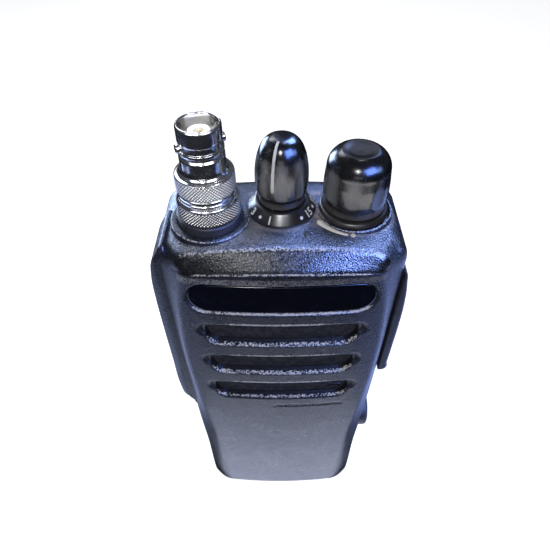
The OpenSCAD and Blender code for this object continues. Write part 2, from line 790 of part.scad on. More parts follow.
module rear_chassis() color([0.62, 0.63, 0.65]) difference() {
    union() {
        through_depth(chassis_y, part_y) back_outline(fit_gap);
        for (x = [-1, 1], z = board_screws_z)
            along_y(x * board_screw_x, z, board_post_r, board_y + board_t, chassis_y);
    }
    through_depth(chassis_y - 1, part_y - plate_back_t) difference() {
        back_outline(4.5);
        for (x = [-1, 1], z = board_screws_z) translate([x * board_screw_x, z]) circle(r = board_post_r);
    }
    through_depth(chassis_y + 0.3, chassis_y + 0.3 + seal_w) difference() {
        back_outline(0);
        back_outline(fit_gap + seal_w);
    }
    for (x = [-1, 1], z = board_screws_z)
        along_y(x * board_screw_x, z, screw_r, chassis_y - 4, chassis_y + 0.5);
    for (x = [-1, 1]) {
        translate([x * foot_screw_x, foot_screw_y, 0]) cylinder(r = foot_screw_r, h = wall + 5);
        box(x * nose_x - nose_w / 2 - swing_gap, x * nose_x + nose_w / 2 + swing_gap,
            nose_y - nose_r - swing_gap, part_y + 1,
            battery_hinge_z - nose_r - swing_gap, battery_hinge_z + nose_r + swing_gap);
    }
    for (x = pad_xs) box(x - spring_w / 2, x + spring_w / 2, chassis_y, part_y + 1,
        pad_z - spring_h / 2, pad_z + spring_h / 2);
}

module main_seal() color([0.06, 0.06, 0.06]) through_depth(chassis_y + 0.35, chassis_y + 0.25 + seal_w)
    difference() {
        back_outline(fit_gap / 2);
        back_outline(fit_gap / 2 + seal_w);
    }

module foot_screws() color([0.7, 0.7, 0.72]) for (x = [-1, 1])
    translate([x * foot_screw_x, foot_screw_y, 0]) {
        translate([0, 0, foot_head_top - head_t + fit_gap]) cylinder(r = foot_head_r, h = head_t - fit_gap);
        translate([0, 0, foot_head_top]) cylinder(r = foot_screw_r - fit_gap, h = foot_screw_l);
    }

module radio_contacts() color([0.85, 0.68, 0.25]) for (x = pad_xs)
    box(x - spring_w / 2 + fit_gap, x + spring_w / 2 - fit_gap, part_y - plate_back_t, part_y + fit_gap,
        pad_z - spring_h / 2 + fit_gap, pad_z + spring_h / 2 - fit_gap);

module antenna_jack() color([0.80, 0.66, 0.36]) translate([connector_x, connector_y, 0]) {
    foot_z = top_under_z - jack_bush_h;
    difference() {
        union() {
            translate([0, 0, foot_z]) cylinder(r = jack_bush_r, h = seal_z - foot_z);
            translate([0, 0, jack_flange_z]) cylinder(r = jack_bush_r + jack_flange_w, h = jack_flange_t);
        }
        translate([0, 0, foot_z + 1]) cylinder(r = stud_r + fit_gap, h = big);
    }
}

module antenna_seal_ring() color([0.03, 0.03, 0.03]) translate([connector_x, connector_y, seal_z])
    difference() {
        cylinder(r = seal_ring_r, h = seal_ring_t);
        translate([0, 0, -1]) cylinder(r = stud_r + fit_gap, h = big);
    }

module adapter_collar() color([0.80, 0.79, 0.76]) translate([connector_x, connector_y, 0]) rotate_extrude()
    polygon([
        [hub_r + fit_gap, collar_z], [collar_r - 0.4, collar_z], [collar_r, collar_z + 0.4],
        [collar_r, band_z - fit_gap - 0.4], [collar_r - 0.4, band_z - fit_gap],
        [hub_r + fit_gap, band_z - fit_gap]
    ]);

module adapter_body() color([0.85, 0.84, 0.80]) translate([connector_x, connector_y, 0]) difference() {
    union() {
        rotate_extrude() polygon([
            [0, collar_z - stud_l], [stud_r, collar_z - stud_l], [stud_r, collar_z], [hub_r, collar_z],
            [hub_r, band_z], [band_r, band_z], [band_r, knurl_z], [knurl_r, knurl_z + 0.3],
            [knurl_r, barrel_z - 0.5], [knurl_r - 0.5, barrel_z], [barrel_r, barrel_z],
            [barrel_r, mouth_z - 1.2], [barrel_r - 0.45, mouth_z - 0.9], [barrel_r - 0.45, mouth_z - 0.3],
            [mouth_r - lug_step, mouth_z], [mouth_r - lug_step, guide_z], [mouth_r, guide_z],
            [mouth_r, rim_z - rim_chamfer], [mouth_r - rim_chamfer, rim_z], [0, rim_z]
        ]);
        translate([0, 0, rim_z - lug_drop]) rotate([0, 90, lug_turn])
            cylinder(r = lug_r, h = 2 * lug_reach, center = true);
    }
    translate([0, 0, socket_floor_z]) cylinder(r = socket_r, h = big);
}

module adapter_insulator() color([0.93, 0.92, 0.89]) translate([connector_x, connector_y, socket_floor_z])
    difference() {
        union() {
            cylinder(r = socket_r - fit_gap / 2, h = insulator_foot_h);
            cylinder(r = insulator_r, h = rim_z - insulator_drop - socket_floor_z);
        }
        translate([0, 0, -1]) cylinder(r = contact_r + fit_gap / 2, h = big);
    }

module adapter_contact() color([0.86, 0.70, 0.30]) translate([connector_x, connector_y, socket_floor_z])
    difference() {
        cylinder(r = contact_r, h = rim_z - contact_drop - socket_floor_z);
        translate([0, 0, 2]) cylinder(r = pin_hole_r, h = big);
    }

module channel_dial_ring() color([0.06, 0.06, 0.07]) translate([channel_x, knob_y, dial_seat_z])
    rotate_extrude() polygon([
        [dial_bore_r, 0], [dial_r, 0], [dial_r, 0.5], [dial_top_r + 0.3, dial_h - 0.3],
        [dial_top_r, dial_h], [dial_bore_r, dial_h]
    ]);

// A turned control under the top: a square body with a threaded bush, bored for its shaft
module control_body(x, bush_top_z) {
    body_top_z = control_top(x);
    translate([x, knob_y, 0]) difference() {
        union() {
            translate([-control_w / 2, -control_w / 2, body_top_z - control_h])
                cube([control_w, control_w, control_h]);
            translate([0, 0, body_top_z - 1]) cylinder(r = bush_r, h = bush_top_z - body_top_z + 1);
        }
        translate([0, 0, body_top_z - shaft_sink]) cylinder(r = shaft_r + run_gap, h = big);
    }
}

module control_nut(x, seat_z) {
    translate([x, knob_y, seat_z]) difference() {
        cylinder(r = nut_r, h = nut_t, $fn = 6);
        translate([0, 0, -1]) cylinder(r = bush_r + fit_gap / 2, h = nut_t + 2);
    }
}

module control_shaft(x, knob_z) {
    foot_z = control_top(x) - shaft_sink + run_gap;
    translate([x, knob_y, foot_z]) cylinder(r = shaft_r, h = knob_z + knob_socket - foot_z - 3 * run_gap);
}

module channel_switch() color([0.25, 0.25, 0.27]) control_body(channel_x, channel_knob_z - swing_gap);

module channel_nut() color([0.75, 0.72, 0.62]) control_nut(channel_x, dial_seat_z);

module channel_shaft() color([0.70, 0.70, 0.72]) control_shaft(channel_x, channel_knob_z);

// Bullet-shaped knob: narrow collar, full belly, dome; soft flutes run down it
module channel_knob() color([0.08, 0.08, 0.09]) translate([channel_x, knob_y, channel_knob_z]) {
    collar_top = 2.2;
    belly_z = 5;
    dome_h = channel_knob_h - belly_z;
    flute_r = 4;
    steps = 10;
    dome = [for (k = [0:steps]) let (a = 90 * k / steps)
        [channel_knob_r * pow(cos(a), 0.75), belly_z + dome_h * pow(sin(a), 1)]];
    difference() {
        rotate_extrude() polygon(concat(
            [[0, 0], [channel_collar_r, 0], [channel_collar_r, collar_top],
             [channel_knob_r - 0.3, collar_top + 0.8]],
            [for (p = dome) [max(p[0], 0), p[1]]]));
        for (k = [0:flute_count - 1]) rotate([0, 0, k * 360 / flute_count])
            translate([0, -channel_knob_r - flute_r + flute_d, collar_top])
                cylinder(r = flute_r, h = dome_h * 0.7);
        translate([0, 0, -1]) cylinder(r = shaft_r + press_gap, h = knob_socket + 1);
        translate([0, 0, -1]) cylinder(r = bush_r + swing_gap, h = 1 + swing_gap);
    }
}

module volume_ring() color([0.07, 0.07, 0.08]) translate([volume_x, knob_y, volume_seat_z]) rotate_extrude()
    polygon([
        [dial_bore_r, 0], [volume_ring_r, 0], [volume_ring_r, volume_ring_t - 0.6],
        [volume_ring_r - 0.6, volume_ring_t], [dial_bore_r, volume_ring_t]
    ]);

module volume_switch() color([0.25, 0.25, 0.27]) control_body(volume_x, volume_knob_z - swing_gap);

module volume_nut() color([0.75, 0.72, 0.62]) control_nut(volume_x, volume_seat_z);

module volume_shaft() color([0.70, 0.70, 0.72]) control_shaft(volume_x, volume_knob_z);

// Drum-shaped knob with a rounded upper edge and a slightly dished top
module volume_knob() color([0.08, 0.08, 0.09]) translate([volume_x, knob_y, volume_knob_z]) {
    collar_top = 2.4;
    edge_r = 4.6;
    dish_d = 0.5;
    steps = 6;
    edge = [for (k = [0:steps]) let (a = 90 * k / steps)
        [volume_knob_r - 0.6 - edge_r + edge_r * cos(a), volume_knob_h - edge_r + edge_r * sin(a)]];
    difference() {
        rotate_extrude() polygon(concat(
            [[0, 0], [volume_collar_r, 0], [volume_collar_r, collar_top], [volume_knob_r, collar_top + 0.9],
             [volume_knob_r, collar_top + 5]],
            edge,
            [[0, volume_knob_h - dish_d]]));
        translate([0, 0, -1]) cylinder(r = shaft_r + press_gap, h = knob_socket + 1);
        translate([0, 0, -1]) cylinder(r = bush_r + swing_gap, h = 1 + swing_gap);
    }
}

module indicator_lens() color([0.25, 0.10, 0.08])
    box(lens_x - lens_w / 2, lens_x + lens_w / 2, lens_y - lens_l / 2, lens_y + lens_l / 2,
        top_under_z - 2, housing_h - 0.3);

// Space that a key needs through the frame and the wall
module key_window(z, h, gap) {
    box(-key_half_w - 1, -key_boards_x - key_switch_h,
        key_y - gap, key_y + key_w + gap, z - gap, z + h + gap);
}

// Contour of the keys or their frame seen from the front, closed along the housing's side
module key_contour(out, z_lo, z_hi) {
    lead_hi = 9;
    lead_lo = 4;
    side = [for (z = [z_hi, bend_high_z, z_lo]) [-half_w(z), z]];
    polygon(concat(side, [
        [-blend(half_w(z_lo), out, 0.65), z_lo + 0.4 * lead_lo],
        [-out, z_lo + lead_lo + 3],
        [-out, z_hi - 2 * lead_hi],
        [-blend(half_w(z_hi), out, 0.85), z_hi - lead_hi]
    ]));
}

module key_frame() color([0.07, 0.07, 0.08]) difference() {
    through_depth(key_y - key_rim, key_y + key_w + key_rim) key_contour(frame_half_w, frame_lo_z, frame_hi_z);
    key_window(ptt_z, ptt_h, key_gap);
    key_window(upper_key_z, side_key_h, key_gap);
    key_window(lower_key_z, side_key_h, key_gap);
}

// A key: its cap follows the contour and a stem reaches to its switch
module side_key(z, h, travel) {
    stem_x = key_boards_x + key_switch_h + travel + key_stem_gap;
    intersection() {
        through_depth(key_y, key_y + key_w) union() {
            key_contour(key_half_w, frame_lo_z, frame_hi_z);
            translate([-half_w_high, 0]) square([half_w_high - stem_x - 0.8, big]);
        }
        box(-big, 0, key_y, key_y + key_w, z, z + h);
    }
    along_x(switch_y, z + h / 2, key_stem_r, -stem_x - 1.2, -stem_x);
}

module ptt_key() color([0.09, 0.09, 0.10]) side_key(ptt_z, ptt_h, ptt_travel);

module side_button_upper() color([0.09, 0.09, 0.10]) side_key(upper_key_z, side_key_h, side_travel);

module side_button_lower() color([0.09, 0.09, 0.10]) side_key(lower_key_z, side_key_h, side_travel);

module side_switches() color([0.10, 0.35, 0.20]) {
    box(-key_boards_x, -key_boards_x + key_board_t, switch_y - switch_board_w / 2,
        switch_y + switch_board_w / 2, lower_key_z, ptt_z + ptt_h);
    for (z = [ptt_z + ptt_h / 2, upper_key_z + side_key_h / 2, lower_key_z + side_key_h / 2])
        box(-key_boards_x - key_switch_h, -key_boards_x, switch_y - switch_w / 2, switch_y + switch_w / 2,
            z - switch_w / 2, z + switch_w / 2);
}

// Rubber cover over the sockets: thin lip below, full middle, long taper above
module dust_cover() color([0.07, 0.07, 0.08]) through_depth(cover_y, cover_y + cover_w) {
    gap = swing_gap / 2;
    inner = [for (z = [cover_z, bend_high_z, cover_top_z]) [half_w(z) + gap, z]];
    polygon(concat(inner, [
        [half_w(cover_top_z) + 0.8, cover_top_z],
        [key_half_w - 0.9, cover_top_z - 6],
        [key_half_w - 0.2, cover_top_z - 12],
        [key_half_w, cover_top_z - 19],
        [key_half_w - 0.5, cover_z + 9],
        [key_half_w - 0.6, cover_z + 1.8],
        [cover_hinge_x + 0.1, cover_z]
    ]));
}

// Strap below the cover, with the button that anchors it in the housing
module cover_strap() color([0.07, 0.07, 0.08]) {
    strap_top = cover_z - 0.8;
    through_depth(anchor_y - strap_w / 2, anchor_y + strap_w / 2) polygon([
        [half_w(anchor_z), anchor_z], [half_w(anchor_z) + strap_t, anchor_z],
        [half_w(bend_low_z) + strap_t, bend_low_z], [half_w(strap_top) + strap_t, strap_top],
        [half_w(strap_top), strap_top], [half_w(bend_low_z), bend_low_z]
    ]);
    difference() {
        along_x(anchor_y, anchor_z, anchor_r, half_w(anchor_z) - 1.5, half_w(anchor_z) + anchor_proud);
        through_depth(-big / 2, big / 2) front_outline(0, 0, housing_h);
    }
    along_x(anchor_y, anchor_z, anchor_stem_r, half_w(anchor_z) - wall - 1, half_w(anchor_z) + strap_t);
}

module accessory_jack() color([0.12, 0.12, 0.13]) difference() {
    union() {
        box(jack_inner_x, half_w(small_jack_z) - wall - 2 * fit_gap,
            jack_y - jack_block_half_d, board_y - swing_gap,
            small_jack_z - jack_block_edge, large_jack_z + jack_block_edge);
        for (j = [[large_jack_z, large_jack_r], [small_jack_z, small_jack_r]])
            along_x(jack_y, j[0], j[1] + jack_wall, jack_inner_x, half_w(j[0]) - jack_sink);
    }
    for (j = [[large_jack_z, large_jack_r], [small_jack_z, small_jack_r]])
        along_x(jack_y, j[0], j[1], half_w(j[0]) - jack_sink - jack_l, key_half_w);
}

// The battery's body, or its hollow inside a wall
module battery_form(inset) {
    i = inset;
    e = case_end_bevel;
    k = case_bevel;
    lead = i > 0 ? 1 : 0;
    difference() {
        intersection() {
            through_depth(battery_y - lead, back_y) front_outline(case_inset + i, i, battery_top_z - i);
            through_width() polygon([
                [battery_y - lead, battery_hinge_z - 0.5 + i], [battery_y + foot_lead, i],
                [back_y - e / 2 - i * bevel_shift, i],
                [back_y - i, e], [back_y - i, battery_top_z - e],
                [shoulder_back_y + 0.2 - i, battery_top_z - i],
                [battery_y - lead, battery_top_z - i]
            ]);
        }
        both_sides() beyond(
            [half_w_low - case_inset, back_y - k, 0], [half_w_low - case_inset - k, back_y, 0],
            [half_w_low - case_inset, back_y - k, 1], i);
    }
}

// Pocket of one battery latch, on the right, with a slot for its hook above
module latch_pocket() {
    box(latch_x - key_gap, key_half_w, latch_y - key_gap, latch_y + latch_w + key_gap,
        latch_z - latch_travel - key_gap, latch_z + latch_h + key_gap);
    box(latch_x - key_gap, latch_x + latch_hook_t + key_gap, latch_y + hook_step - key_gap,
        latch_y + latch_w - hook_step + key_gap, latch_z, battery_top_z + 1);
}

// Block of the case round one latch, on the right, or the room for it
module latch_surround(gap) {
    edge = case_wall + gap;
    box(latch_x - edge, key_half_w, latch_y - edge, latch_y + latch_w + edge,
        latch_z - latch_travel - edge, battery_top_z);
}

// One hinge nose at the battery's foot, on the right
module hinge_nose() {
    along_x(nose_y, battery_hinge_z, nose_r, nose_x - nose_w / 2, nose_x + nose_w / 2);
    box(nose_x - nose_w / 2, nose_x + nose_w / 2, nose_y, battery_y + case_wall / 2,
        battery_hinge_z - nose_r / 2, battery_hinge_z + nose_r / 2);
}

module battery_case() color([0.09, 0.09, 0.10]) difference() {
    union() {
        difference() {
            battery_form(0);
            battery_form(case_wall);
        }
        both_sides() intersection() {
            battery_form(0);
            latch_surround(0);
        }
        both_sides() hinge_nose();
    }
    both_sides() latch_pocket();
    for (x = pad_xs) box(x - charge_pad_w / 2, x + charge_pad_w / 2, back_y - pad_t, back_y + 1,
        charge_pad_z - charge_pad_h / 2, charge_pad_z + charge_pad_h / 2);
}

module battery_lid() color([0.10, 0.10, 0.11]) difference() {
    through_depth(battery_y, battery_y + lid_t) front_outline(case_inset + case_wall + fit_gap,
        lid_z, battery_top_z - case_wall - fit_gap);
    both_sides() latch_surround(fit_gap);
    for (x = pad_xs) box(x - pad_w / 2, x + pad_w / 2, battery_y - 1, battery_y + pad_t,
        pad_z - pad_h / 2, pad_z + pad_h / 2);
}

module battery_cells() color([0.20, 0.35, 0.65]) for (z = cells_z)
    box(-cell_w / 2, cell_w / 2, cell_y, cell_y + cell_t, z, z + cell_h);

module battery_contacts() color([0.85, 0.68, 0.25]) for (x = pad_xs) {
    box(x - pad_w / 2 + fit_gap, x + pad_w / 2 - fit_gap, battery_y, battery_y + pad_t,
        pad_z - pad_h / 2 + fit_gap, pad_z + pad_h / 2 - fit_gap);
    box(x - charge_pad_w / 2 + fit_gap, x + charge_pad_w / 2 - fit_gap, back_y - pad_t, back_y - fit_gap,
        charge_pad_z - charge_pad_h / 2 + fit_gap, charge_pad_z + charge_pad_h / 2 - fit_gap);
}

// One battery latch, on the right: a ribbed grip with a hook that reaches up to the shoulder
module battery_latch() {
    x0 = latch_x;
    x1 = latch_x + latch_t + 1.3;
    difference() {
        box(x0, x1, latch_y, latch_y + latch_w, latch_z, latch_z + latch_h);
        for (k = [1:4]) translate([x1 + 0.4, latch_y - 1, latch_z + k * latch_h / 5])
            rotate([-90, 0, 0]) cylinder(r = 0.8, h = latch_w + 2);
    }
    box(x0, x0 + latch_hook_t, latch_y + hook_step, latch_y + latch_w - hook_step,
        latch_z + latch_h, battery_top_z);
}

module battery_latch_left() color([0.12, 0.12, 0.13]) mirror([1, 0, 0]) battery_latch();

module battery_latch_right() color([0.12, 0.12, 0.13]) battery_latch();

front_housing();
name_plate();
speaker_cloth();
speaker_basket();
speaker_cone();
speaker_magnet();
speaker_screws();
microphone();
microphone_boot();
main_board();
board_shield();
board_screws();
rear_chassis();
main_seal();
foot_screws();
radio_contacts();
antenna_jack();
antenna_seal_ring();
adapter_collar();
adapter_body();
adapter_insulator();
adapter_contact();
channel_dial_ring();
channel_switch();
channel_nut();
channel_shaft();
channel_knob();
volume_ring();
volume_switch();
volume_nut();
volume_shaft();
volume_knob();
indicator_lens();
key_frame();
ptt_key();
side_button_upper();
side_button_lower();
side_switches();
dust_cover();
cover_strap();
accessory_jack();
battery_case();
battery_lid();
battery_cells();
battery_contacts();
battery_latch_left();
battery_latch_right();
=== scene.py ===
import math

import bmesh
import bpy
import numpy as np
from mathutils import Matrix, Vector


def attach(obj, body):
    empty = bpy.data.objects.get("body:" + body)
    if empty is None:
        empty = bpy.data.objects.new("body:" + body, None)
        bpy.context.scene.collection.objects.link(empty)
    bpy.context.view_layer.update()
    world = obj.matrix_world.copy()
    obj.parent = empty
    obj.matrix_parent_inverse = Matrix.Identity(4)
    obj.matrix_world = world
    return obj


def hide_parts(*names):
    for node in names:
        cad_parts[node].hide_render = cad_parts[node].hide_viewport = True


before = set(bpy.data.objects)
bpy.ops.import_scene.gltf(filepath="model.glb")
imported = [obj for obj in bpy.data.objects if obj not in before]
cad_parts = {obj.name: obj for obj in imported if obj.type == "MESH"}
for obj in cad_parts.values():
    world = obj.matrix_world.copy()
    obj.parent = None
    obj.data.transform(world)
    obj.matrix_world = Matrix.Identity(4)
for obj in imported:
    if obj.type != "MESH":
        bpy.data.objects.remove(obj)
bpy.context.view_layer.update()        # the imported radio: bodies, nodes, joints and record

# All sizes below are millimetres in the radio's own frame: X towards its accessory cover, Y from the
# front to the battery, Z up from the foot. MM turns them into metres as a mesh is made.
MM = 0.001

# Housing
FRONT_Y = -21.0
PART_Y = 4.0
TOP_BACK_Y = 10.8
SHOULDER_Z = 106.0
SHOULDER_BACK_Y = 16.5
HOUSING_H = 127.7
FRONT_CROWN_R = 185.0
TOP_CROWN_R = 200.0
BEVEL_H = 4.5
BEVEL_TOP_Y = -16.85
BEVEL_BOW = 0.0004
CHAMFER_D = 6.5
CHAMFER_FOOT = 2.0
SIDE_W = [(0, 27.4), (18, 28.1), (45, 29.1), (75, 29.65), (107, 29.95), (118, 30.1), (127.7, 29.8)]
FLAT_W = [(0, 22.5), (25, 22.3), (42, 22.6), (50, 23.6), (60, 24.8), (67, 25.4), (78, 26.2),
          (101, 26.2), (113, 25.0), (119, 23.4), (124, 21.6), (128, 20.4)]

# Front details
PLATE_HALF_L, PLATE_H, PLATE_Z = 22.6, 9.4, 114.4
PLATE_GAP, PLATE_RECESS_D = 0.3, 0.6
SLOT_TOPS = (104.9, 91.3, 77.7)
SLOT_HALF_L = 20.0
SLOT_H = 9.2
SLOT_D = 1.9
SLOT_CORNER_R = 4.0
DIMPLE_D = 0.75
FELT_D = 1.75
MIC_X, MIC_Z, MIC_D = 15.8, 72.5, 2.4
LABEL_X0, LABEL_X1, LABEL_Z0, LABEL_Z1, LABEL_D = -1.8, 19.0, 63.6, 65.2, 0.2

# Top controls
CONNECTOR = (-16.86, -5.7)
CHANNEL = (0.1, -1.95)
VOLUME = (17.5, -1.95)
LENS = (5.8, -12.3)
CONE_LOW, CONE_HIGH = (8.25, 128.05), (6.62, 130.08)
DIAL_STEP = 20.0
DIAL_START = -22.5
POINTER_TURN = math.radians(-20.0)
LUG_Z, LUG_TURN = 147.5, math.radians(28)

# Sides and back
KEY_MID_Y = -7.5
KEY_HALF_D = 5.5
KEY_CORNER_R, KEY_GAP, KEY_WINDOW_D = 1.5, 0.25, 2.9
KEY_FRAME_LIP = 1.6
KEY_FRAME_Z0, KEY_FRAME_Z1, KEY_FRAME_X0 = 54.0, 126.0, 27.0
KEYS = {"ptt_key": (94.0, 117.5), "side_button_upper": (79.5, 91.0), "side_button_lower": (64.5, 76.0)}
KEY_OUT = [(56.0, 29.3), (58.5, 30.8), (61, 32.0), (65, 32.6), (80, 32.8), (97, 32.8), (107, 32.7),
           (116, 32.2), (121, 31.2), (125.0, 28.9)]
COVER_OUT = [(72.9, 30.6), (74.0, 32.0), (77, 32.1), (87, 32.3), (97, 32.4), (105, 32.2), (112, 31.5),
             (116.5, 30.5), (118, 29.5)]
BATTERY_Y = 4.3
BACK_Y = 21.0
BATTERY_TOP_Z = 105.5
LATCH_Y0, LATCH_Y1, LATCH_Z0, LATCH_Z1 = 9.3, 15.3, 84.0, 97.0
LATCH_X0, LATCH_X1 = 25.2, 28.9
LATCH_TRAVEL, LATCH_GAP, LATCH_POCKET_D, LATCH_RIB_PITCH = 3.0, 0.25, 3.9, 2.6
CHARGE_PADS_X = (-9.0, -3.0, 3.0, 9.0)
CHARGE_PAD_Z, CHARGE_PAD_HALF_W, CHARGE_PAD_HALF_H, CHARGE_PAD_D = 14.0, 2.05, 2.55, 0.5
BACK_PANEL, BACK_PANEL_D = (-16.5, 16.5, 30.0, 90.0, 3.0), 0.45
JACK_Y = -8.5
JACK_HOLES, JACK_D = ((104.0, 3.05), (92.5, 2.55)), 5.0
KEY_INNER_X = 31.2
COVER_Z0, COVER_Z1, COVER_HALF_D = 72.95, 118.0, 6.5
COVER_GROOVES_Z = (104.5, 106.7, 108.9)
STRAP_Y, STRAP_Z0, STRAP_Z1, STRAP_HALF_D = -7.5, 42.0, 72.1, 3.0
ANCHOR_Z, ANCHOR_R = 39.2, 6.8
HINGE_Y, HINGE_Z = 3.1, 4.5

# Rays, and the photograph's camera
RAY_REACH, HALVINGS = 90.0, 34
TO_FRONT, TO_RIGHT, TO_BACK, TO_LEFT = -np.pi / 2, 0.0, np.pi / 2, np.pi
CAMERA_AT = (-1.2156, -93.097, 199.5655)
CAMERA_TILT, CAMERA_TURN, CAMERA_ROLL = 46.499, 0.294, 0.611
FOCAL_PX, PHOTO_PX, SENSOR_W = 472.713, 550, 36.0


# Curves and grids

def curve(at, stops):
    """A smooth line through the stops (place, value): between two stops runs the cubic whose slope at
    each stop is the mean slope of the line on both sides of it. Beyond the ends the value stays."""
    place, value = np.array(stops, float).T
    slope = np.gradient(value, place)
    at = np.clip(at, place[0], place[-1])
    i = np.clip(np.searchsorted(place, at) - 1, 0, len(place) - 2)
    width = place[i + 1] - place[i]
    t = (at - place[i]) / width
    start = (2 * t ** 3 - 3 * t ** 2 + 1) * value[i] + (t ** 3 - 2 * t ** 2 + t) * width * slope[i]
    end = (3 * t ** 2 - 2 * t ** 3) * value[i + 1] + (t ** 3 - t ** 2) * width * slope[i + 1]
    return start + end


def ease(x, low, high):
    """0 up to low, 1 from high on, and 3t^2 - 2t^3 on the way."""
    t = np.clip((x - low) / (high - low), 0, 1)
    return t * t * (3 - 2 * t)


def bell(x, width):
    """1 at 0, falling to both sides as e to the minus (x / width)^2."""
    return np.exp(-(x / width) ** 2)


def join(a, b, k):
    """The greater of two distances, rounded over a width k where they are alike: their maximum plus
    k h^2 / 4, where h falls from 1 at equal distances to 0 where they differ by k."""
    h = np.maximum(k - np.abs(a - b), 0) / k
    return np.maximum(a, b) + h * h * k / 4


def graded(*spans):
    """Places along a line, from (start, end, step) spans laid end to end."""
    runs = [np.linspace(a, b, max(2, round(abs(b - a) / step) + 1)) for a, b, step in spans]
    return np.unique(np.concatenate(runs))


def rounded(corners, cuts, steps=5):
    """A line through the corners, each cut off at its distance and replaced by the parabola that
    leaves and meets the two edges in their own direction. A cut of 0 keeps the corner."""
    p = np.array(corners, float)
    line = [p[:1]]
    t = np.linspace(0, 1, steps)[:, None]
    for i in range(1, len(p) - 1):
        if not cuts[i]:
            line.append(p[i:i + 1])
            continue
        before, after = p[i - 1] - p[i], p[i + 1] - p[i]
        a = p[i] + before * min(cuts[i] / np.linalg.norm(before), 0.5)
        b = p[i] + after * min(cuts[i] / np.linalg.norm(after), 0.5)
        line.append((1 - t) ** 2 * a + 2 * t * (1 - t) * p[i] + t * t * b)
    return np.concatenate(line + [p[-1:]])


def spaced(line, step):
    """The same line with points at most a step apart, set evenly between the given points."""
    gaps = np.linalg.norm(np.diff(line, axis=0), axis=1)
    along = np.concatenate([[0], np.cumsum(gaps)])
    spans = [(a, b) for a, b in zip(along, along[1:]) if b > a]
    places = [np.linspace(a, b, int(np.ceil((b - a) / step)) + 1) for a, b in spans]
    at = np.unique(np.concatenate(places))
    return np.stack([np.interp(at, along, line[:, c]) for c in range(line.shape[1])], 1)


def piece(name, points, body, slot, material, nodes=(), **marks):
    """A mesh from a grid of points: rows by columns of places in millimetres, with a face between each
    four neighbours. The columns close on themselves, and points that meet, at poles and seams, are
    merged. marks are values per point that a finish can read."""
    rows, cols = points.shape[:2]
    i, j = np.meshgrid(np.arange(rows - 1) * cols, np.arange(cols), indexing="ij")
    k = (j + 1) % cols
    faces = np.stack([i + j, i + k, i + cols + k, i + cols + j], -1).reshape(-1, 4)
    return solid(name, points.reshape(-1, 3), faces, body, slot, material, nodes, **marks)


def solid(name, points, faces, body, slot, material, nodes=(), **marks):
    """A closed mesh of given points (mm) and faces, cleaned, turned outwards and hung on its body."""
    mesh = bpy.data.meshes.new(name)
    mesh.from_pydata((points * MM).tolist(), [], faces.tolist())
    for key, value in marks.items():
        mark = mesh.attributes.new(key, "FLOAT", "POINT")
        value = np.broadcast_to(np.ravel(value), len(points))
        mark.data.foreach_set("value", value.astype(np.float32))
    b = bmesh.new()
    b.from_mesh(mesh)
    bmesh.ops.remove_doubles(b, verts=b.verts, dist=2e-6)
    bmesh.ops.dissolve_degenerate(b, edges=b.edges, dist=1e-7)
    bmesh.ops.recalc_face_normals(b, faces=b.faces)
    if b.calc_volume(signed=True) < 0:
        bmesh.ops.reverse_faces(b, faces=b.faces)
    b.to_mesh(mesh)
    b.free()
    mesh.polygons.foreach_set("use_smooth", np.ones(len(mesh.polygons), bool))
    mesh.materials.append(material)
    made = bpy.data.objects.new(name, mesh)
    bpy.context.scene.collection.objects.link(made)
    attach(made, body)
    if nodes:
        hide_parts(*nodes)
    return made


def turned_at(axis, angle, r, z):
    """Points at an angle and a radius round an upright axis; the angle starts at the front and runs to
    the right."""
    return np.stack(np.broadcast_arrays(axis[0] + r * np.sin(angle), axis[1] - r * np.cos(angle), z), -1)


def turned(axis, profile, sides, swell=None):
    """A profile of (radius, height) turned about an upright axis. swell(angle, radius), where given,
    gives each point its own radius."""
    angle = np.linspace(0, 2 * np.pi, sides, endpoint=False)[None, :]
    r, z = profile[:, :1], profile[:, 1:]
    return turned_at(axis, angle, swell(angle, r) if swell else r, z)


def turn_about(axis, points, start):
    """Each point's angle round an upright axis, counted from a start."""
    return np.arctan2(points[..., 0] - axis[0], axis[1] - points[..., 1]) - start


def around(core, front, side, back, corner):
    """Columns of rays round an upright core box: the start of each ray on the box's edge and its
    heading, straight out of the four sides and fanned over a quarter turn at the four corners."""
    x0, x1, y0, y1 = core[:4]
    q = np.linspace(0, np.pi / 2, corner + 2)[1:-1]
    runs = [(front, y0, -np.pi / 2), (x1, y0, q - np.pi / 2), (x1, side, 0), (x1, y1, q),
            (back[::-1], y1, np.pi / 2), (x0, y1, q + np.pi / 2), (x0, side[::-1], np.pi),
            (x0, y0, q + np.pi)]
    return [np.concatenate(part) for part in zip(*(np.broadcast_arrays(*run) for run in runs))]


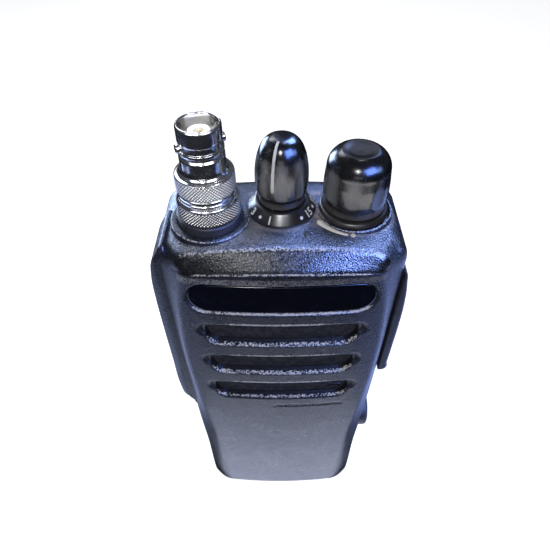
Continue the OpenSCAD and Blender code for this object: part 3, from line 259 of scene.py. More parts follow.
def skin(form, core, columns, levels, cap, turn):
    """The surface where form is 0, met by rays from a core box inside it: columns of rays go round the
    box, and rows run from a pole under it, fanned round its lower rim, straight out at the given
    levels, fanned round its upper rim and up to a pole above it. Halving finds each ray's end. Also
    gives each ray's lean and heading."""
    x, y, heading = columns
    z0, z1 = core[4:]
    fan = np.linspace(0, np.pi / 2, turn + 2)[1:-1]
    ring = np.linspace(0, 1, cap + 1)
    z = np.concatenate([np.full(cap + 1 + turn, z0), levels, np.full(cap + 1 + turn, z1)])[:, None]
    lean = np.concatenate([np.full(cap + 1, -np.pi / 2), -fan[::-1], 0 * levels, fan,
                           np.full(cap + 1, np.pi / 2)])[:, None]
    size = np.concatenate([ring, np.ones(2 * turn + len(levels)), ring[::-1]])[:, None]
    mid_x, mid_y = (core[0] + core[1]) / 2, (core[2] + core[3]) / 2
    start = np.stack(np.broadcast_arrays(mid_x + size * (x - mid_x), mid_y + size * (y - mid_y), z), -1)
    way = np.stack(np.broadcast_arrays(np.cos(lean) * np.cos(heading), np.cos(lean) * np.sin(heading),
                                       np.sin(lean)), -1)
    near = np.zeros(start.shape[:2])
    far = near + RAY_REACH
    for _ in range(HALVINGS):
        half = (near + far) / 2
        inside = form(*np.moveaxis(start + half[..., None] * way, -1, 0)) < 0
        near, far = np.where(inside, half, near), np.where(inside, far, half)
    points = start + near[..., None] * way
    return points, np.broadcast_to(lean, near.shape), np.broadcast_to(heading, near.shape)


def straight(heading, way):
    """Which rays leave straight towards a heading."""
    return np.abs(heading - way) < 1e-6


def pegged(start, end, radius, edge, sides=28):
    """A round peg between two points, its edges rounded off at both ends."""
    start, end = np.array(start, float), np.array(end, float)
    length = np.linalg.norm(end - start)
    along = (end - start) / length
    across = np.cross(along, (0.0, 0.0, 1.0))
    across = across / np.linalg.norm(across)
    other = np.cross(along, across)
    line = rounded([(0, 0), (radius, 0), (radius, length), (0, length)], [0, edge, edge, 0], 6)
    angle = np.linspace(0, 2 * np.pi, sides, endpoint=False)[None, :, None]
    r, h = line[:, None, :1], line[:, None, 1:]
    return start + h * along + r * (np.cos(angle) * across + np.sin(angle) * other)


def ribbon(line, across, up, half_w, rise, sunk):
    """A raised strip along a line: at each point of it a flat-topped ring with eased shoulders, half_w to
    each side, rise above the line and sunk below it. Both ends close to a point in the ring's middle."""
    ring = np.array([(-1, 0), (-1, 0.7), (-0.86, 1), (0, 1.06), (0.86, 1), (1, 0.7), (1, 0), (0, 0)])
    half_w = np.broadcast_to(half_w, len(line))[:, None, None]
    height = ring[None, :, 1:] * (rise + sunk) - sunk
    points = line[:, None] + across[:, None] * ring[None, :, :1] * half_w + up[:, None] * height
    ends = points[[0, -1]].mean(1, keepdims=True) + 0 * points[[0, -1]]
    return np.concatenate([ends[:1], points, ends[1:]])


def bar_plate(half_l, h, z_mid, layers, x_mid=0.0, straight=60, bend=20):
    """A bar with round ends lying on the crowned front, as rings from its middle line out: each layer
    gives the share of the full half height that its ring reaches and its depth under the crown."""
    length = half_l - h / 2
    turn = np.linspace(-np.pi / 2, np.pi / 2, bend + 1)
    run = np.linspace(-length, length, straight + 1)[1:-1]
    mid = np.concatenate([np.full(bend + 1, length), run[::-1], np.full(bend + 1, -length), run])
    angle = np.concatenate([turn, np.full(straight - 1, np.pi / 2), turn + np.pi,
                            np.full(straight - 1, -np.pi / 2)])
    share, depth = np.array(layers, float).T[:, :, None]
    x = x_mid + mid + share * h / 2 * np.cos(angle)
    z = z_mid + share * h / 2 * np.sin(angle)
    return np.stack(np.broadcast_arrays(x, front_line(x) + depth, z), -1)


def mirrored(points):
    """The same grid on the other side of the radio."""
    return points * np.array([-1.0, 1.0, 1.0])


def box_form(x, y, z, low, high, k):
    """Distance outside a box with edges rounded over a width k."""
    sides = join(np.maximum(low[0] - x, x - high[0]), np.maximum(low[1] - y, y - high[1]), k)
    return join(sides, np.maximum(low[2] - z, z - high[2]), k)


def rounded_window(a, b, a0, a1, b0, b1, r):
    """Distance outside a rectangle with corners of radius r."""
    da = np.abs(a - (a0 + a1) / 2) - (a1 - a0) / 2 + r
    db = np.abs(b - (b0 + b1) / 2) - (b1 - b0) / 2 + r
    return np.hypot(np.maximum(da, 0), np.maximum(db, 0)) + np.minimum(np.maximum(da, db), 0) - r


# Finishes

class Tone:
    """A socket in a finish's node tree. Sums, differences and products of values add their Math
    nodes, also with a number on the left."""

    def __init__(self, finish, socket):
        self.finish = finish
        self.socket = socket

    def maths(self, operation, a, b):
        """A Math node of two values."""
        return self.finish.node("ShaderNodeMath", {"operation": operation}, {0: a, 1: b})

    def __add__(self, other):
        return self.maths("ADD", self, other)

    def __sub__(self, other):
        return self.maths("SUBTRACT", self, other)

    def __rsub__(self, other):
        return self.maths("SUBTRACT", other, self)

    def __mul__(self, other):
        return self.maths("MULTIPLY", self, other)

    __radd__ = __add__
    __rmul__ = __mul__


class Finish:
    """A material: its shader's uniform values are set first, and what varies is fed in by wear."""

    def __init__(self, name, **shader):
        self.material = bpy.data.materials.new(name)
        self.material.use_nodes = True
        self.tree = self.material.node_tree
        self.shader = self.tree.nodes["Principled BSDF"]
        self.wear(**shader)

    def feed(self, socket, value):
        """Links a tone to a socket, or sets the socket to a number, a vector or an opaque colour."""
        if isinstance(value, Tone):
            self.tree.links.new(value.socket, socket)
        else:
            socket.default_value = (*value, 1.0) if socket.type == "RGBA" else value

    def node(self, kind, settings, sockets, out=0):
        """A new node with its settings and its sockets' values or links, as the tone of one output."""
        made = self.tree.nodes.new(kind)
        for key, value in settings.items():
            setattr(made, key, value)
        for key, value in sockets.items():
            self.feed(made.inputs[key], value)
        return Tone(self, made.outputs[out])

    def place(self, stretch=(1, 1, 1)):
        """Object coordinates in millimetres, stretched where grain runs one way."""
        here = self.node("ShaderNodeTexCoord", {}, {}, "Object")
        scale = tuple(s / MM for s in stretch)
        return self.node("ShaderNodeVectorMath", {"operation": "MULTIPLY"}, {0: here, 1: scale})

    def cloud(self, size, detail=2.0, rough=0.5, stretch=(1, 1, 1)):
        """Noise from 0 to 1 with features of that size in millimetres."""
        return self.node("ShaderNodeTexNoise", {}, {"Vector": self.place(stretch), "Scale": 1 / size,
                         "Detail": detail, "Roughness": rough}, "Fac")

    def mark(self, name):
        """A value that the piece carries on its points."""
        return self.node("ShaderNodeAttribute", {"attribute_name": name}, {}, "Fac")

    def gate(self, value, low, high):
        """0 where the value is under low, 1 over high, eased between."""
        return self.node("ShaderNodeMapRange", {"interpolation_type": "SMOOTHSTEP"},
                         {"Value": value, "From Min": low, "From Max": high})

    def mix(self, share, a, b):
        """Colour a where the share is 0, b where it is 1."""
        return self.node("ShaderNodeMix", {"data_type": "RGBA"}, {0: share, 6: a, 7: b}, 2)

    def bump(self, height, depth, strength=1.0):
        """A normal from a height, whose full range stands that many millimetres high."""
        return self.node("ShaderNodeBump", {}, {"Height": height, "Distance": depth * MM,
                                                "Strength": strength})

    def cover(self, share, colour):
        """Lets a plain matt colour cover the finish by a share."""
        matt = self.node("ShaderNodeBsdfDiffuse", {}, {"Color": colour}, "BSDF")
        bare = Tone(self, self.shader.outputs["BSDF"])
        both = self.node("ShaderNodeMixShader", {}, {0: share, 1: bare, 2: matt}, "Shader")
        self.feed(self.tree.nodes["Material Output"].inputs["Surface"], both)

    def wear(self, **inputs):
        """Feeds the shader's inputs, as base_color for Base Color, and gives the material."""
        for key, value in inputs.items():
            self.feed(self.shader.inputs[key.replace("_", " ").title().replace("Ior", "IOR")], value)
        return self.material


def grained_black(name, base, dust, roughness, wear_and_sheen):
    """Moulded black plastic: a pebbled grain in the bump, the gloss and the colour, clouds of haze and
    dust, and pale flecks where the mark edge says so: rubbed wear, and on the housing painted glints
    and painted highlight lines. The mark grime browns it, dusty pales it, a further mark covers it with
    matt black as painted shade in the slots' recesses, and sleek smooths its grain."""
    f = Finish(name, specular_ior_level=0.5)
    grain = f.cloud(0.38, 1.0, 0.6)
    fine = f.cloud(0.34, 1.0)
    haze = f.cloud(9.0, 4.0, 0.6)
    smear = f.cloud(2.6, 3.0, 0.6)
    edge = f.mark("edge")
    grime = f.mark("grime")
    dusty = f.mark("dusty")
    dull = f.mark("dull")
    sleek = f.mark("sleek")
    flecks = f.gate(f.cloud(0.55, 3.0, 0.7), 0.46, 0.6)
    # Pale flecks where the edge mark says so: rubbed wear, and on the housing painted glints and painted
    # highlight lines.
    rub_and_glint = f.gate(edge * (0.4 + flecks + 1.4 * (smear - 0.5)), 0.4, 1.1)
    colour = f.mix(f.gate(haze, 0.42, 0.74) * 0.5 + 0.6 * f.gate(fine, 0.5, 0.72), base, dust)
    colour = f.mix(f.gate(grime * (0.35 + smear), 0.25, 0.9), colour, (0.24, 0.205, 0.175))
    colour = f.mix(dusty * f.gate(fine + 0.5 * smear, 0.55, 0.95), colour, (0.5, 0.5, 0.51))
    # A matt black cover in the slots' recesses: painted shade.
    f.cover(0.92 * dull * (1 - rub_and_glint), (0.009, 0.009, 0.011))
    colour = f.mix(rub_and_glint, colour, wear_and_sheen)
    rough = roughness + 0.5 * (fine - 0.5) + 0.16 * (smear - 0.5) + 0.14 * grime
    rough = rough + 0.2 * rub_and_glint - 0.13 * sleek + 0.2 * (haze - 0.5)
    pebbles = (grain + 0.3 * fine) * (1 - 0.6 * sleek)
    return f.wear(base_color=colour, roughness=rough, normal=f.bump(pebbles, 0.17, 1.0))


def glossy_black(name, base, roughness, scratch_turn=(1, 1, 0.06), scratched=0.5, level=0.6):
    """Polished black plastic: faint scratches and finger haze in its gloss, greyed and dulled where the
    mark edge says so, which is worn haze laid heavier where the knobs catch the light as a painted
    sheen, with brown dust where the mark grime says so."""
    f = Finish(name, specular_ior_level=level)
    lines = f.cloud(0.2, 2.0, 0.6, scratch_turn)
    smear = f.cloud(3.4, 4.0, 0.65)
    wear_and_sheen = f.gate(f.mark("edge") * (0.25 + 0.8 * lines + 0.8 * smear), 0.3, 1.2)
    dust = f.gate(f.mark("grime") * (0.3 + smear), 0.25, 0.9)
    scuffs = f.gate(lines, 0.56, 0.74) * f.gate(smear, 0.4, 0.62)
    colour = f.mix(scuffs * scratched * 0.5, base, (0.12, 0.115, 0.11))
    # Grey where the edge mark says so: worn haze, with painted sheen where the knobs catch the light.
    colour = f.mix(wear_and_sheen, colour, (0.2, 0.2, 0.2))
    colour = f.mix(dust * 0.7, colour, (0.11, 0.095, 0.08))
    rough = roughness + 0.22 * scratched * scuffs + 0.12 * f.gate(smear, 0.45, 0.75)
    rough = rough + 0.3 * wear_and_sheen + 0.3 * dust
    return f.wear(base_color=colour, roughness=rough, normal=f.bump(lines, 0.012 * scratched, 0.5))


def bright_metal(name, base, roughness, tarnish):
    """Plated metal: clouded polish, hairlines, and grime where the mark grime says that it is deep."""
    f = Finish(name, metallic=1.0)
    polish = f.cloud(1.8, 4.0, 0.6)
    hair = f.cloud(0.12, 1.0, 0.5, (0.15, 0.15, 1.0))
    grime = f.gate(f.mark("grime") * (0.75 + 0.5 * f.cloud(0.7, 2.0)), 0.35, 0.95)
    colour = f.mix(f.gate(polish, 0.45, 0.75), base, tarnish)
    colour = f.mix(grime, colour, (0.05, 0.045, 0.04))
    rough = roughness + 0.16 * f.gate(polish, 0.4, 0.8) + 0.06 * hair + 0.3 * grime
    return f.wear(base_color=colour, roughness=rough, normal=f.bump(hair, 0.004, 0.4))


def plain_stuff(name, base, second, roughness, grain, depth, metallic=0.0, level=0.5):
    """A material with a soft change of colour and a grain of its own size: rubber, felt, board lacquer,
    cast or rolled metal, insulator."""
    f = Finish(name, metallic=metallic, specular_ior_level=level)
    cloud = f.cloud(grain * 6, 4.0, 0.6)
    fine = f.cloud(grain, 2.0)
    colour = f.mix(f.gate(cloud, 0.38, 0.7), base, second)
    rough = roughness + 0.2 * (fine - 0.5) + 0.1 * (cloud - 0.5)
    return f.wear(base_color=colour, roughness=rough, normal=f.bump(fine, depth, 0.6))


def window_red():
    """An unlit reddish indicator window, its gloss dulled by handling."""
    f = Finish("indicator_window", coat_weight=0.3, coat_roughness=0.2)
    cloud = f.cloud(0.6, 2.0)
    return f.wear(base_color=f.mix(cloud, (0.075, 0.062, 0.062), (0.035, 0.032, 0.033)),
                  roughness=0.35 + 0.2 * cloud)


# The last colour of each grained finish is the pale of its edge mark: rubbed wear, and on the housing also
# the colour of painted glints and highlight lines.
HOUSING = grained_black("housing_grain", (0.008, 0.0082, 0.0105), (0.027, 0.028, 0.034), 0.35,
                        (0.54, 0.54, 0.55))
BATTERY = grained_black("battery_grain", (0.0105, 0.0105, 0.012), (0.03, 0.03, 0.034), 0.44,
                        (0.3, 0.3, 0.32))
PLATE_GLOSS = glossy_black("plate_polish", (0.003, 0.004, 0.011), 0.09, (0.05, 1, 1), 0.2, 0.4)
KNOB_GLOSS = glossy_black("knob_polish", (0.008, 0.008, 0.009), 0.2)
DIAL_GLOSS = glossy_black("dial_polish", (0.02, 0.02, 0.023), 0.28, (1, 1, 1), 0.6)
NICKEL = bright_metal("nickel_plate", (0.83, 0.83, 0.84), 0.11, (0.7, 0.69, 0.68))
KNURLED = bright_metal("knurled_nickel", (0.84, 0.84, 0.85), 0.3, (0.72, 0.71, 0.7))
STEEL = bright_metal("bright_steel", (0.62, 0.62, 0.63), 0.22, (0.5, 0.49, 0.47))
GOLD = bright_metal("gold_plate", (0.86, 0.62, 0.24), 0.18, (0.72, 0.5, 0.2))
BRASS = bright_metal("turned_brass", (0.74, 0.56, 0.28), 0.2, (0.6, 0.44, 0.2))
IRON = bright_metal("magnet_iron", (0.3, 0.3, 0.31), 0.4, (0.22, 0.22, 0.23))
CELL_CAN = bright_metal("cell_can", (0.55, 0.56, 0.58), 0.3, (0.46, 0.46, 0.48))
CHASSIS = plain_stuff("cast_chassis", (0.5, 0.51, 0.52), (0.4, 0.41, 0.42), 0.42, 0.5, 0.03, 1.0)
RUBBER = plain_stuff("soft_rubber", (0.028, 0.029, 0.034), (0.042, 0.043, 0.05), 0.5, 0.35, 0.03)
KEY_RUBBER = plain_stuff("key_rubber", (0.014, 0.014, 0.017), (0.03, 0.03, 0.036), 0.46, 0.3, 0.03)
CONTROL_GREY = plain_stuff("control_grey", (0.18, 0.18, 0.19), (0.13, 0.13, 0.14), 0.5, 0.4, 0.02)
INSULATOR = plain_stuff("white_insulator", (0.86, 0.85, 0.82), (0.76, 0.74, 0.69), 0.36, 0.4, 0.01)
CREAM_PAINT = plain_stuff("cream_paint", (0.86, 0.82, 0.75), (0.7, 0.65, 0.57), 0.42, 0.45, 0.02)
WHITE_PAINT = plain_stuff("white_paint", (0.88, 0.88, 0.87), (0.74, 0.74, 0.73), 0.45, 0.25, 0.01)
CLOTH = plain_stuff("speaker_felt", (0.026, 0.027, 0.031), (0.05, 0.051, 0.058), 0.9, 0.28, 0.12,
                    0.0, 0.1)
CONE = plain_stuff("cone_paper", (0.02, 0.02, 0.021), (0.035, 0.034, 0.034), 0.7, 0.5, 0.03)
BOARD = plain_stuff("board_lacquer", (0.02, 0.12, 0.05), (0.015, 0.09, 0.04), 0.3, 0.6, 0.01)
WINDOW = window_red()

NODES_BY_FINISH = (
    (HOUSING, "front_housing key_frame"),
    (PLATE_GLOSS, "name_plate"),
    (CLOTH, "speaker_cloth"),
    (STEEL, "speaker_basket speaker_screws microphone board_shield board_screws foot_screws"),
    (CONE, "speaker_cone"),
    (IRON, "speaker_magnet"),
    (RUBBER, "microphone_boot main_seal antenna_seal_ring dust_cover cover_strap accessory_jack"),
    (BOARD, "main_board side_switches"),
    (CHASSIS, "rear_chassis"),
    (GOLD, "radio_contacts adapter_contact battery_contacts"),
    (BRASS, "antenna_jack channel_nut channel_shaft volume_nut volume_shaft"),
    (NICKEL, "adapter_collar adapter_body"),
    (INSULATOR, "adapter_insulator"),
    (DIAL_GLOSS, "channel_dial_ring volume_ring"),
    (CONTROL_GREY, "channel_switch volume_switch"),
    (KNOB_GLOSS, "channel_knob volume_knob"),
    (WINDOW, "indicator_lens"),
    (KEY_RUBBER, "ptt_key side_button_upper side_button_lower battery_latch_left battery_latch_right"),
    (BATTERY, "battery_case battery_lid"),
    (CELL_CAN, "battery_cells"))


def dress_nodes():
    """Every CAD node that stays on show takes its own finish."""
    for finish, names in NODES_BY_FINISH:
        for name in names.split():
            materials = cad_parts[name].data.materials
            materials.clear()
            materials.append(finish)


# Housing

def side_w(z):
    """Half width of the housing at a height."""
    return curve(z, SIDE_W)


def front_line(x):
    """Y of the crowned front: a shallow parabola across."""
    return FRONT_Y + x * x / (2 * FRONT_CROWN_R)


def top_line(x):
    """Z of the crowned top."""
    return HOUSING_H - x * x / (2 * TOP_CROWN_R)


def bevel_top(x):
    """Y of the bevel's upper edge, slightly bowed."""
    return BEVEL_TOP_Y - BEVEL_BOW * x * x


def bevel_foot(x):
    """Z of the bevel's lower edge."""
    return top_line(x) - BEVEL_H


def housing_form(x, y, z):
    """How far a point lies outside the housing: the greatest distance past its front, bevel, top, sides,
    chamfers, back and foot, with each edge rounded as moulded."""
    across = np.abs(x)
    front = front_line(x) - y
    top = z - top_line(x)
    run = bevel_top(x) - front_line(x)
    bevel = (run * top - BEVEL_H * (y - bevel_top(x))) / np.hypot(run, BEVEL_H)
    side = across - side_w(z)
    flat = curve(z, FLAT_W)
    reach = side_w(z) - flat
    deep = CHAMFER_D - CHAMFER_FOOT * (1 - ease(z, 0, 26))
    chamfer = (deep * (across - flat) - reach * (y - front_line(flat))) / np.hypot(reach, deep)
    upper = z > SHOULDER_Z
    stepped = (SHOULDER_BACK_Y - (SHOULDER_BACK_Y - TOP_BACK_Y) * (z - SHOULDER_Z)
               / (HOUSING_H - SHOULDER_Z))
    dish = 0.9 * ease(side_w(z) - across, 1.0, 2.1) * ease(z, 0.8, 2.0) * (1 - ease(z, 103.8, 105.2))
    back = y - np.where(upper, stepped, PART_Y - dish)
    body = join(join(front, bevel, 0.8), chamfer, 0.9 + 0.9 * (1 - ease(z, 6, 40)))
    body = join(body, side, 1.4)
    body = join(body, top, 0.9 + 4.6 * ease(across, 20.5, 27.0))
    body = join(body, back, np.where(upper, 4.4, 0.6))
    return join(body, -z, 1.3)


def stadium(x, z, half_l, h, z_mid):
    """Distance outside a lying bar with round ends."""
    past = np.maximum(np.abs(x) - (half_l - h / 2), 0)
    return np.hypot(past, z - z_mid) - h / 2


def plate_edge(x, z):
    """Distance outside the plate's recess."""
    return stadium(x, z, PLATE_HALF_L + PLATE_GAP, PLATE_H + 2 * PLATE_GAP, PLATE_Z)


def slot_fall(x, z, top):
    """Share of a grille slot's depth that the front has sunk to: a bar with round corners, steep at its
    upper edge and at its ends, and below a ramp that comes up to the front."""
    edge = -rounded_window(x, z, -SLOT_HALF_L, SLOT_HALF_L, top - SLOT_H, top, SLOT_CORNER_R)
    run = 0.4 + 1.4 * ease(top - z, 3.0, 7.0)
    return np.clip(edge / run, 0, 1)


def label_bar(x, z):
    """Distance outside the bare label bar."""
    wide = (LABEL_X1 - LABEL_X0) / 2
    tall = (LABEL_Z1 - LABEL_Z0) / 2
    return np.maximum(np.abs(x - LABEL_X0 - wide) - wide, np.abs(z - LABEL_Z0 - tall) - tall)


def front_sink(x, z):
    """Depth of the front below its crown, in y: the plate's recess with a broad lower lip, the three
    grille slots with a soft dimple at each end, the label bar and the microphone slit."""
    lip = 0.3 + 0.5 * ease(PLATE_Z - z, 2.0, 4.0)
    depth = PLATE_RECESS_D * np.clip(1 - plate_edge(x, z) / lip, 0, 1)
    for top in SLOT_TOPS:
        end = np.hypot((np.abs(x) - SLOT_HALF_L + 0.6) / 3.0, (z - top + 2.6) / 3.2)
        depth = np.maximum(depth, DIMPLE_D * (1 - ease(end, 0.35, 1.0)))
        depth = np.maximum(depth, SLOT_D * slot_fall(x, z, top))
    depth = np.maximum(depth, LABEL_D * ease(-label_bar(x, z), -0.15, 0.2))
    slit = np.hypot((x - MIC_X) / 2.0, (z - MIC_Z) / 0.6) - 1
    return np.maximum(depth, MIC_D * ease(-slit, -0.3, 0.4))


def rubbed_edges(x, y, z, on_front):
    """Where the housing is painted pale as glints and highlights: flecks of painted glint along the
    bevel's upper edge and on the slots' ramps (values near 1), unbroken thin painted highlight lines
    along its lower edge, the plate's lower lip and the slots' upper lips (values from 2 on)."""
    across = np.abs(x)
    upper = bell(y - bevel_top(x) - 0.1, 0.5) * (z > HOUSING_H - 3.2)
    upper = (1.3 - 0.35 * ease(np.abs(x + 4), 6, 20)) * upper * (1 - ease(across, 22.5, 24.5))
    lower = 2.2 * bell(z - bevel_foot(x), 0.18) * (y < -18) * (1 - ease(across, 19.0, 21.5))
    lip = 3.2 * bell(plate_edge(x, z) - PLATE_GAP, 0.2) * ease(PLATE_Z - z, 2.8, 4.6)
    marks = [upper, lower, lip * on_front]
    for top in SLOT_TOPS:
        fall = slot_fall(x, z, top)
        ramp = 1.2 * bell(fall - 0.24, 0.3) * (fall > 0) * ease(top - z, 4.6, 7.0)
        line = 2.4 * bell(z - top - 0.3, 0.34) * (1 - ease(across, 8.0, 18.0))
        marks += [ramp * on_front, line * on_front]
    return np.maximum.reduce(marks)


def settled_grime(x, y, z, on_front):
    """Where the housing is brown with grime: round the feet of the three controls, between the two
    knobs, and at the ends of the slots."""
    rings = ((CONNECTOR, 10.2, 0.35), (CHANNEL, 9.0, 0.8), (VOLUME, 9.8, 0.9))
    near = [share * bell(np.hypot(x - c[0], y - c[1]) - r, 0.9) for c, r, share in rings]
    between = (CHANNEL[0] + VOLUME[0]) / 2
    near.append(1.1 * bell(x - between, 2.4) * bell(y - VOLUME[1] + 3.5, 5.0))
    grime = np.maximum.reduce(near) * (z > 124)
    for top in SLOT_TOPS:
        end = bell(stadium(x, z, SLOT_HALF_L, 5.0, top - 2.5) - 0.1, 0.35)
        grime = np.maximum(grime, 0.7 * end * on_front * ease(np.abs(x), 18.0, 20.0))
    return grime


def pale_dust(x, y, z, on_front):
    """Where dust pales the housing: on the top before the antenna, on the strip between the bevel and
    the plate, thinner to the right, and on the label bar."""
    on_top = ease(z, 125.4, 126.8) * ease(y, BEVEL_TOP_Y, BEVEL_TOP_Y + 0.8)
    patch = on_top * (1.25 * bell(x + 17, 9) * bell(y + 13, 4) + 0.02)
    plate_top = PLATE_Z + PLATE_H / 2
    strip = ease(z, plate_top + 0.2, plate_top + 1.0) * (1 - ease(z, bevel_foot(x) - 0.5, bevel_foot(x)))
    strip = 0.5 * strip * (1 - 0.45 * ease(x, -8, 8))
    label = 0.4 * ease(-label_bar(x, z), -0.2, 0.2)
    return patch + (strip + label) * on_front


def housing_shell():
    """The housing's outer skin with its sunk front, the two socket holes in its right side, and its
    marks: painted glints and highlight lines, grime and dust, a matt black cover on the slots' floors
    and ramps as painted shade, and a sleek bevel."""
    core = (-24.0, 24.0, -12.0, -2.0, 6.0, 120.5)
    front = graded((-24, -15.5, 0.24), (-15.5, 15.5, 0.9), (15.5, 24, 0.24))
    columns = around(core, front, graded((-12, -5, 0.3), (-5, -2, 1.5)), graded((-24, 24, 2.4)), 15)
    levels = graded((6, 62, 1.6), (62, 66.4, 0.25), (66.4, 69, 0.5), (69, 106, 0.22), (106, 107.6, 0.4),
                    (107.6, 120.5, 0.24))
    points, lean, heading = skin(housing_form, core, columns, levels, 8, 46)
    x, y, z = np.moveaxis(points, -1, 0)
    on_front = straight(heading, TO_FRONT) & (np.abs(lean) < 0.12)
    points[..., 1] += np.where(on_front, front_sink(x, z), 0)
    holes = np.minimum.reduce([np.hypot(y - JACK_Y, z - hole_z) - r for hole_z, r in JACK_HOLES])
    points[..., 0] -= np.where(straight(heading, TO_RIGHT), JACK_D * ease(-holes, -0.16, 0.16), 0)
    falls = np.maximum.reduce([slot_fall(x, z, top) for top in SLOT_TOPS])
    sleek = ease(z, bevel_foot(x) - 0.2, bevel_foot(x) + 0.3)
    sleek = sleek * (1 - ease(y, BEVEL_TOP_Y - 0.4, BEVEL_TOP_Y + 0.2))
    piece("housing_shell", points, "radio", "housing_black", HOUSING, ["front_housing"],
          # the edge mark here is painted glints and painted highlight lines
          edge=rubbed_edges(x, y, z, on_front), grime=settled_grime(x, y, z, on_front),
          # a matt black cover over the slots' floors and ramps, as painted shade
          dull=ease(falls, 0.0, 0.3) * on_front, dusty=pale_dust(x, y, z, on_front), sleek=sleek)


def top_seats():
    """Low bosses of the housing under the antenna's ring and the volume knob's ring: rings with an eased
    outer edge, their skirts sunk in the crowned top."""
    for name, axis, r_out, r_in, z_top, z_in in (("antenna_seat", CONNECTOR, 9.4, 7.85, 128.0, 127.2),
                                                 ("volume_seat", VOLUME, 9.35, 8.75, 127.5, 127.1)):
        line = rounded([(r_in, 123.6), (r_in, z_in), (r_in, z_top), (r_out, z_top), (r_out + 0.5, 123.6),
                        (r_in, 123.6)], [0, 0, 0.18, 0.45, 0, 0], 6)
        points = turned(axis, line, 112)
        height = points[..., 2]
        wide = np.hypot(points[..., 0] - axis[0], points[..., 1] - axis[1])
        edge = 1.1 * bell(wide - r_out + 0.1, 0.12) * (height > z_top - 0.5)
        grime = 0.7 * (1 - ease(height, z_top - 0.75, z_top - 0.25))
        piece(name, points, "radio", "housing_black", HOUSING, ["front_housing"], edge=edge, grime=grime)


def name_plate():
    """The bare gloss plate: a bar with round ends and a rolled rim, let into its recess."""
    layers = [(0, 0.14), (0.3, 0.14), (0.6, 0.14), (0.86, 0.14), (0.93, 0.16), (0.97, 0.23), (1, 0.36),
              (1, 0.85), (0, 0.85)]
    points = bar_plate(PLATE_HALF_L, PLATE_H, PLATE_Z, layers)
    piece("plate_face", points, "radio", "plate_gloss", PLATE_GLOSS, ["name_plate"])


def grille_felt():
    """Felt behind the grille: one bar over the floor of each slot, and the dark slit of the microphone
    near the end of the lowest."""
    layers = [(0, FELT_D), (0.5, FELT_D - 0.04), (0.9, FELT_D), (1, FELT_D + 0.1), (1, FELT_D + 0.5),
              (0, FELT_D + 0.5)]
    for i, top in enumerate(SLOT_TOPS):
        points = bar_plate(SLOT_HALF_L - 0.3, SLOT_H - 2.0, top - SLOT_H / 2 + 0.75, layers)
        piece(f"grille_felt_{i + 1}", points, "radio", "speaker_cloth", CLOTH, ["speaker_cloth"])
    layers = [(0, FELT_D - 0.12), (0.7, FELT_D - 0.12), (1, FELT_D - 0.06), (1, FELT_D + 0.3),
              (0, FELT_D + 0.3)]
    points = bar_plate(2.3, 1.3, MIC_Z, layers, MIC_X, 12, 12)
    piece("microphone_slit", points, "radio", "rubber_black", PLATE_GLOSS)


def knurled(axis, r, z0, z1, teeth, pitch, depth, ends, sides_per_tooth=8, rows_per_pitch=9):
    """A diamond knurl round an axis: the radius falls by depth in the grooves of two opposite spirals,
    between which rounded teeth stand as high as the product of two squared sines of angle plus and minus
    height, and it eases to its groove floor over the ends. Also gives each point's depth as a mark."""
    rows = int((z1 - z0) / pitch * rows_per_pitch)
    sides = teeth * sides_per_tooth
    z = np.linspace(z0, z1, rows)[:, None]
    angle = np.linspace(0, 2 * np.pi, sides, endpoint=False)[None, :]
    turn = teeth * angle / (2 * np.pi)
    rise = z / pitch
    tooth = np.clip(1.25 * (np.sin(np.pi * (turn + rise)) * np.sin(np.pi * (turn - rise))) ** 2, 0, 1)
    tooth = tooth * ease(z, z0, z0 + ends) * (1 - ease(z, z1 - ends, z1))
    points = turned_at(axis, angle, r - depth * (1 - tooth), z)
    inner = turned(axis, np.array([(r - 1.2, z1), (r - 1.2, z0)]), sides)
    points = np.concatenate([points, inner, points[:1]])
    grime = np.concatenate([1 - tooth, np.ones((2, sides)), 1 - tooth[:1]])
    return points, grime


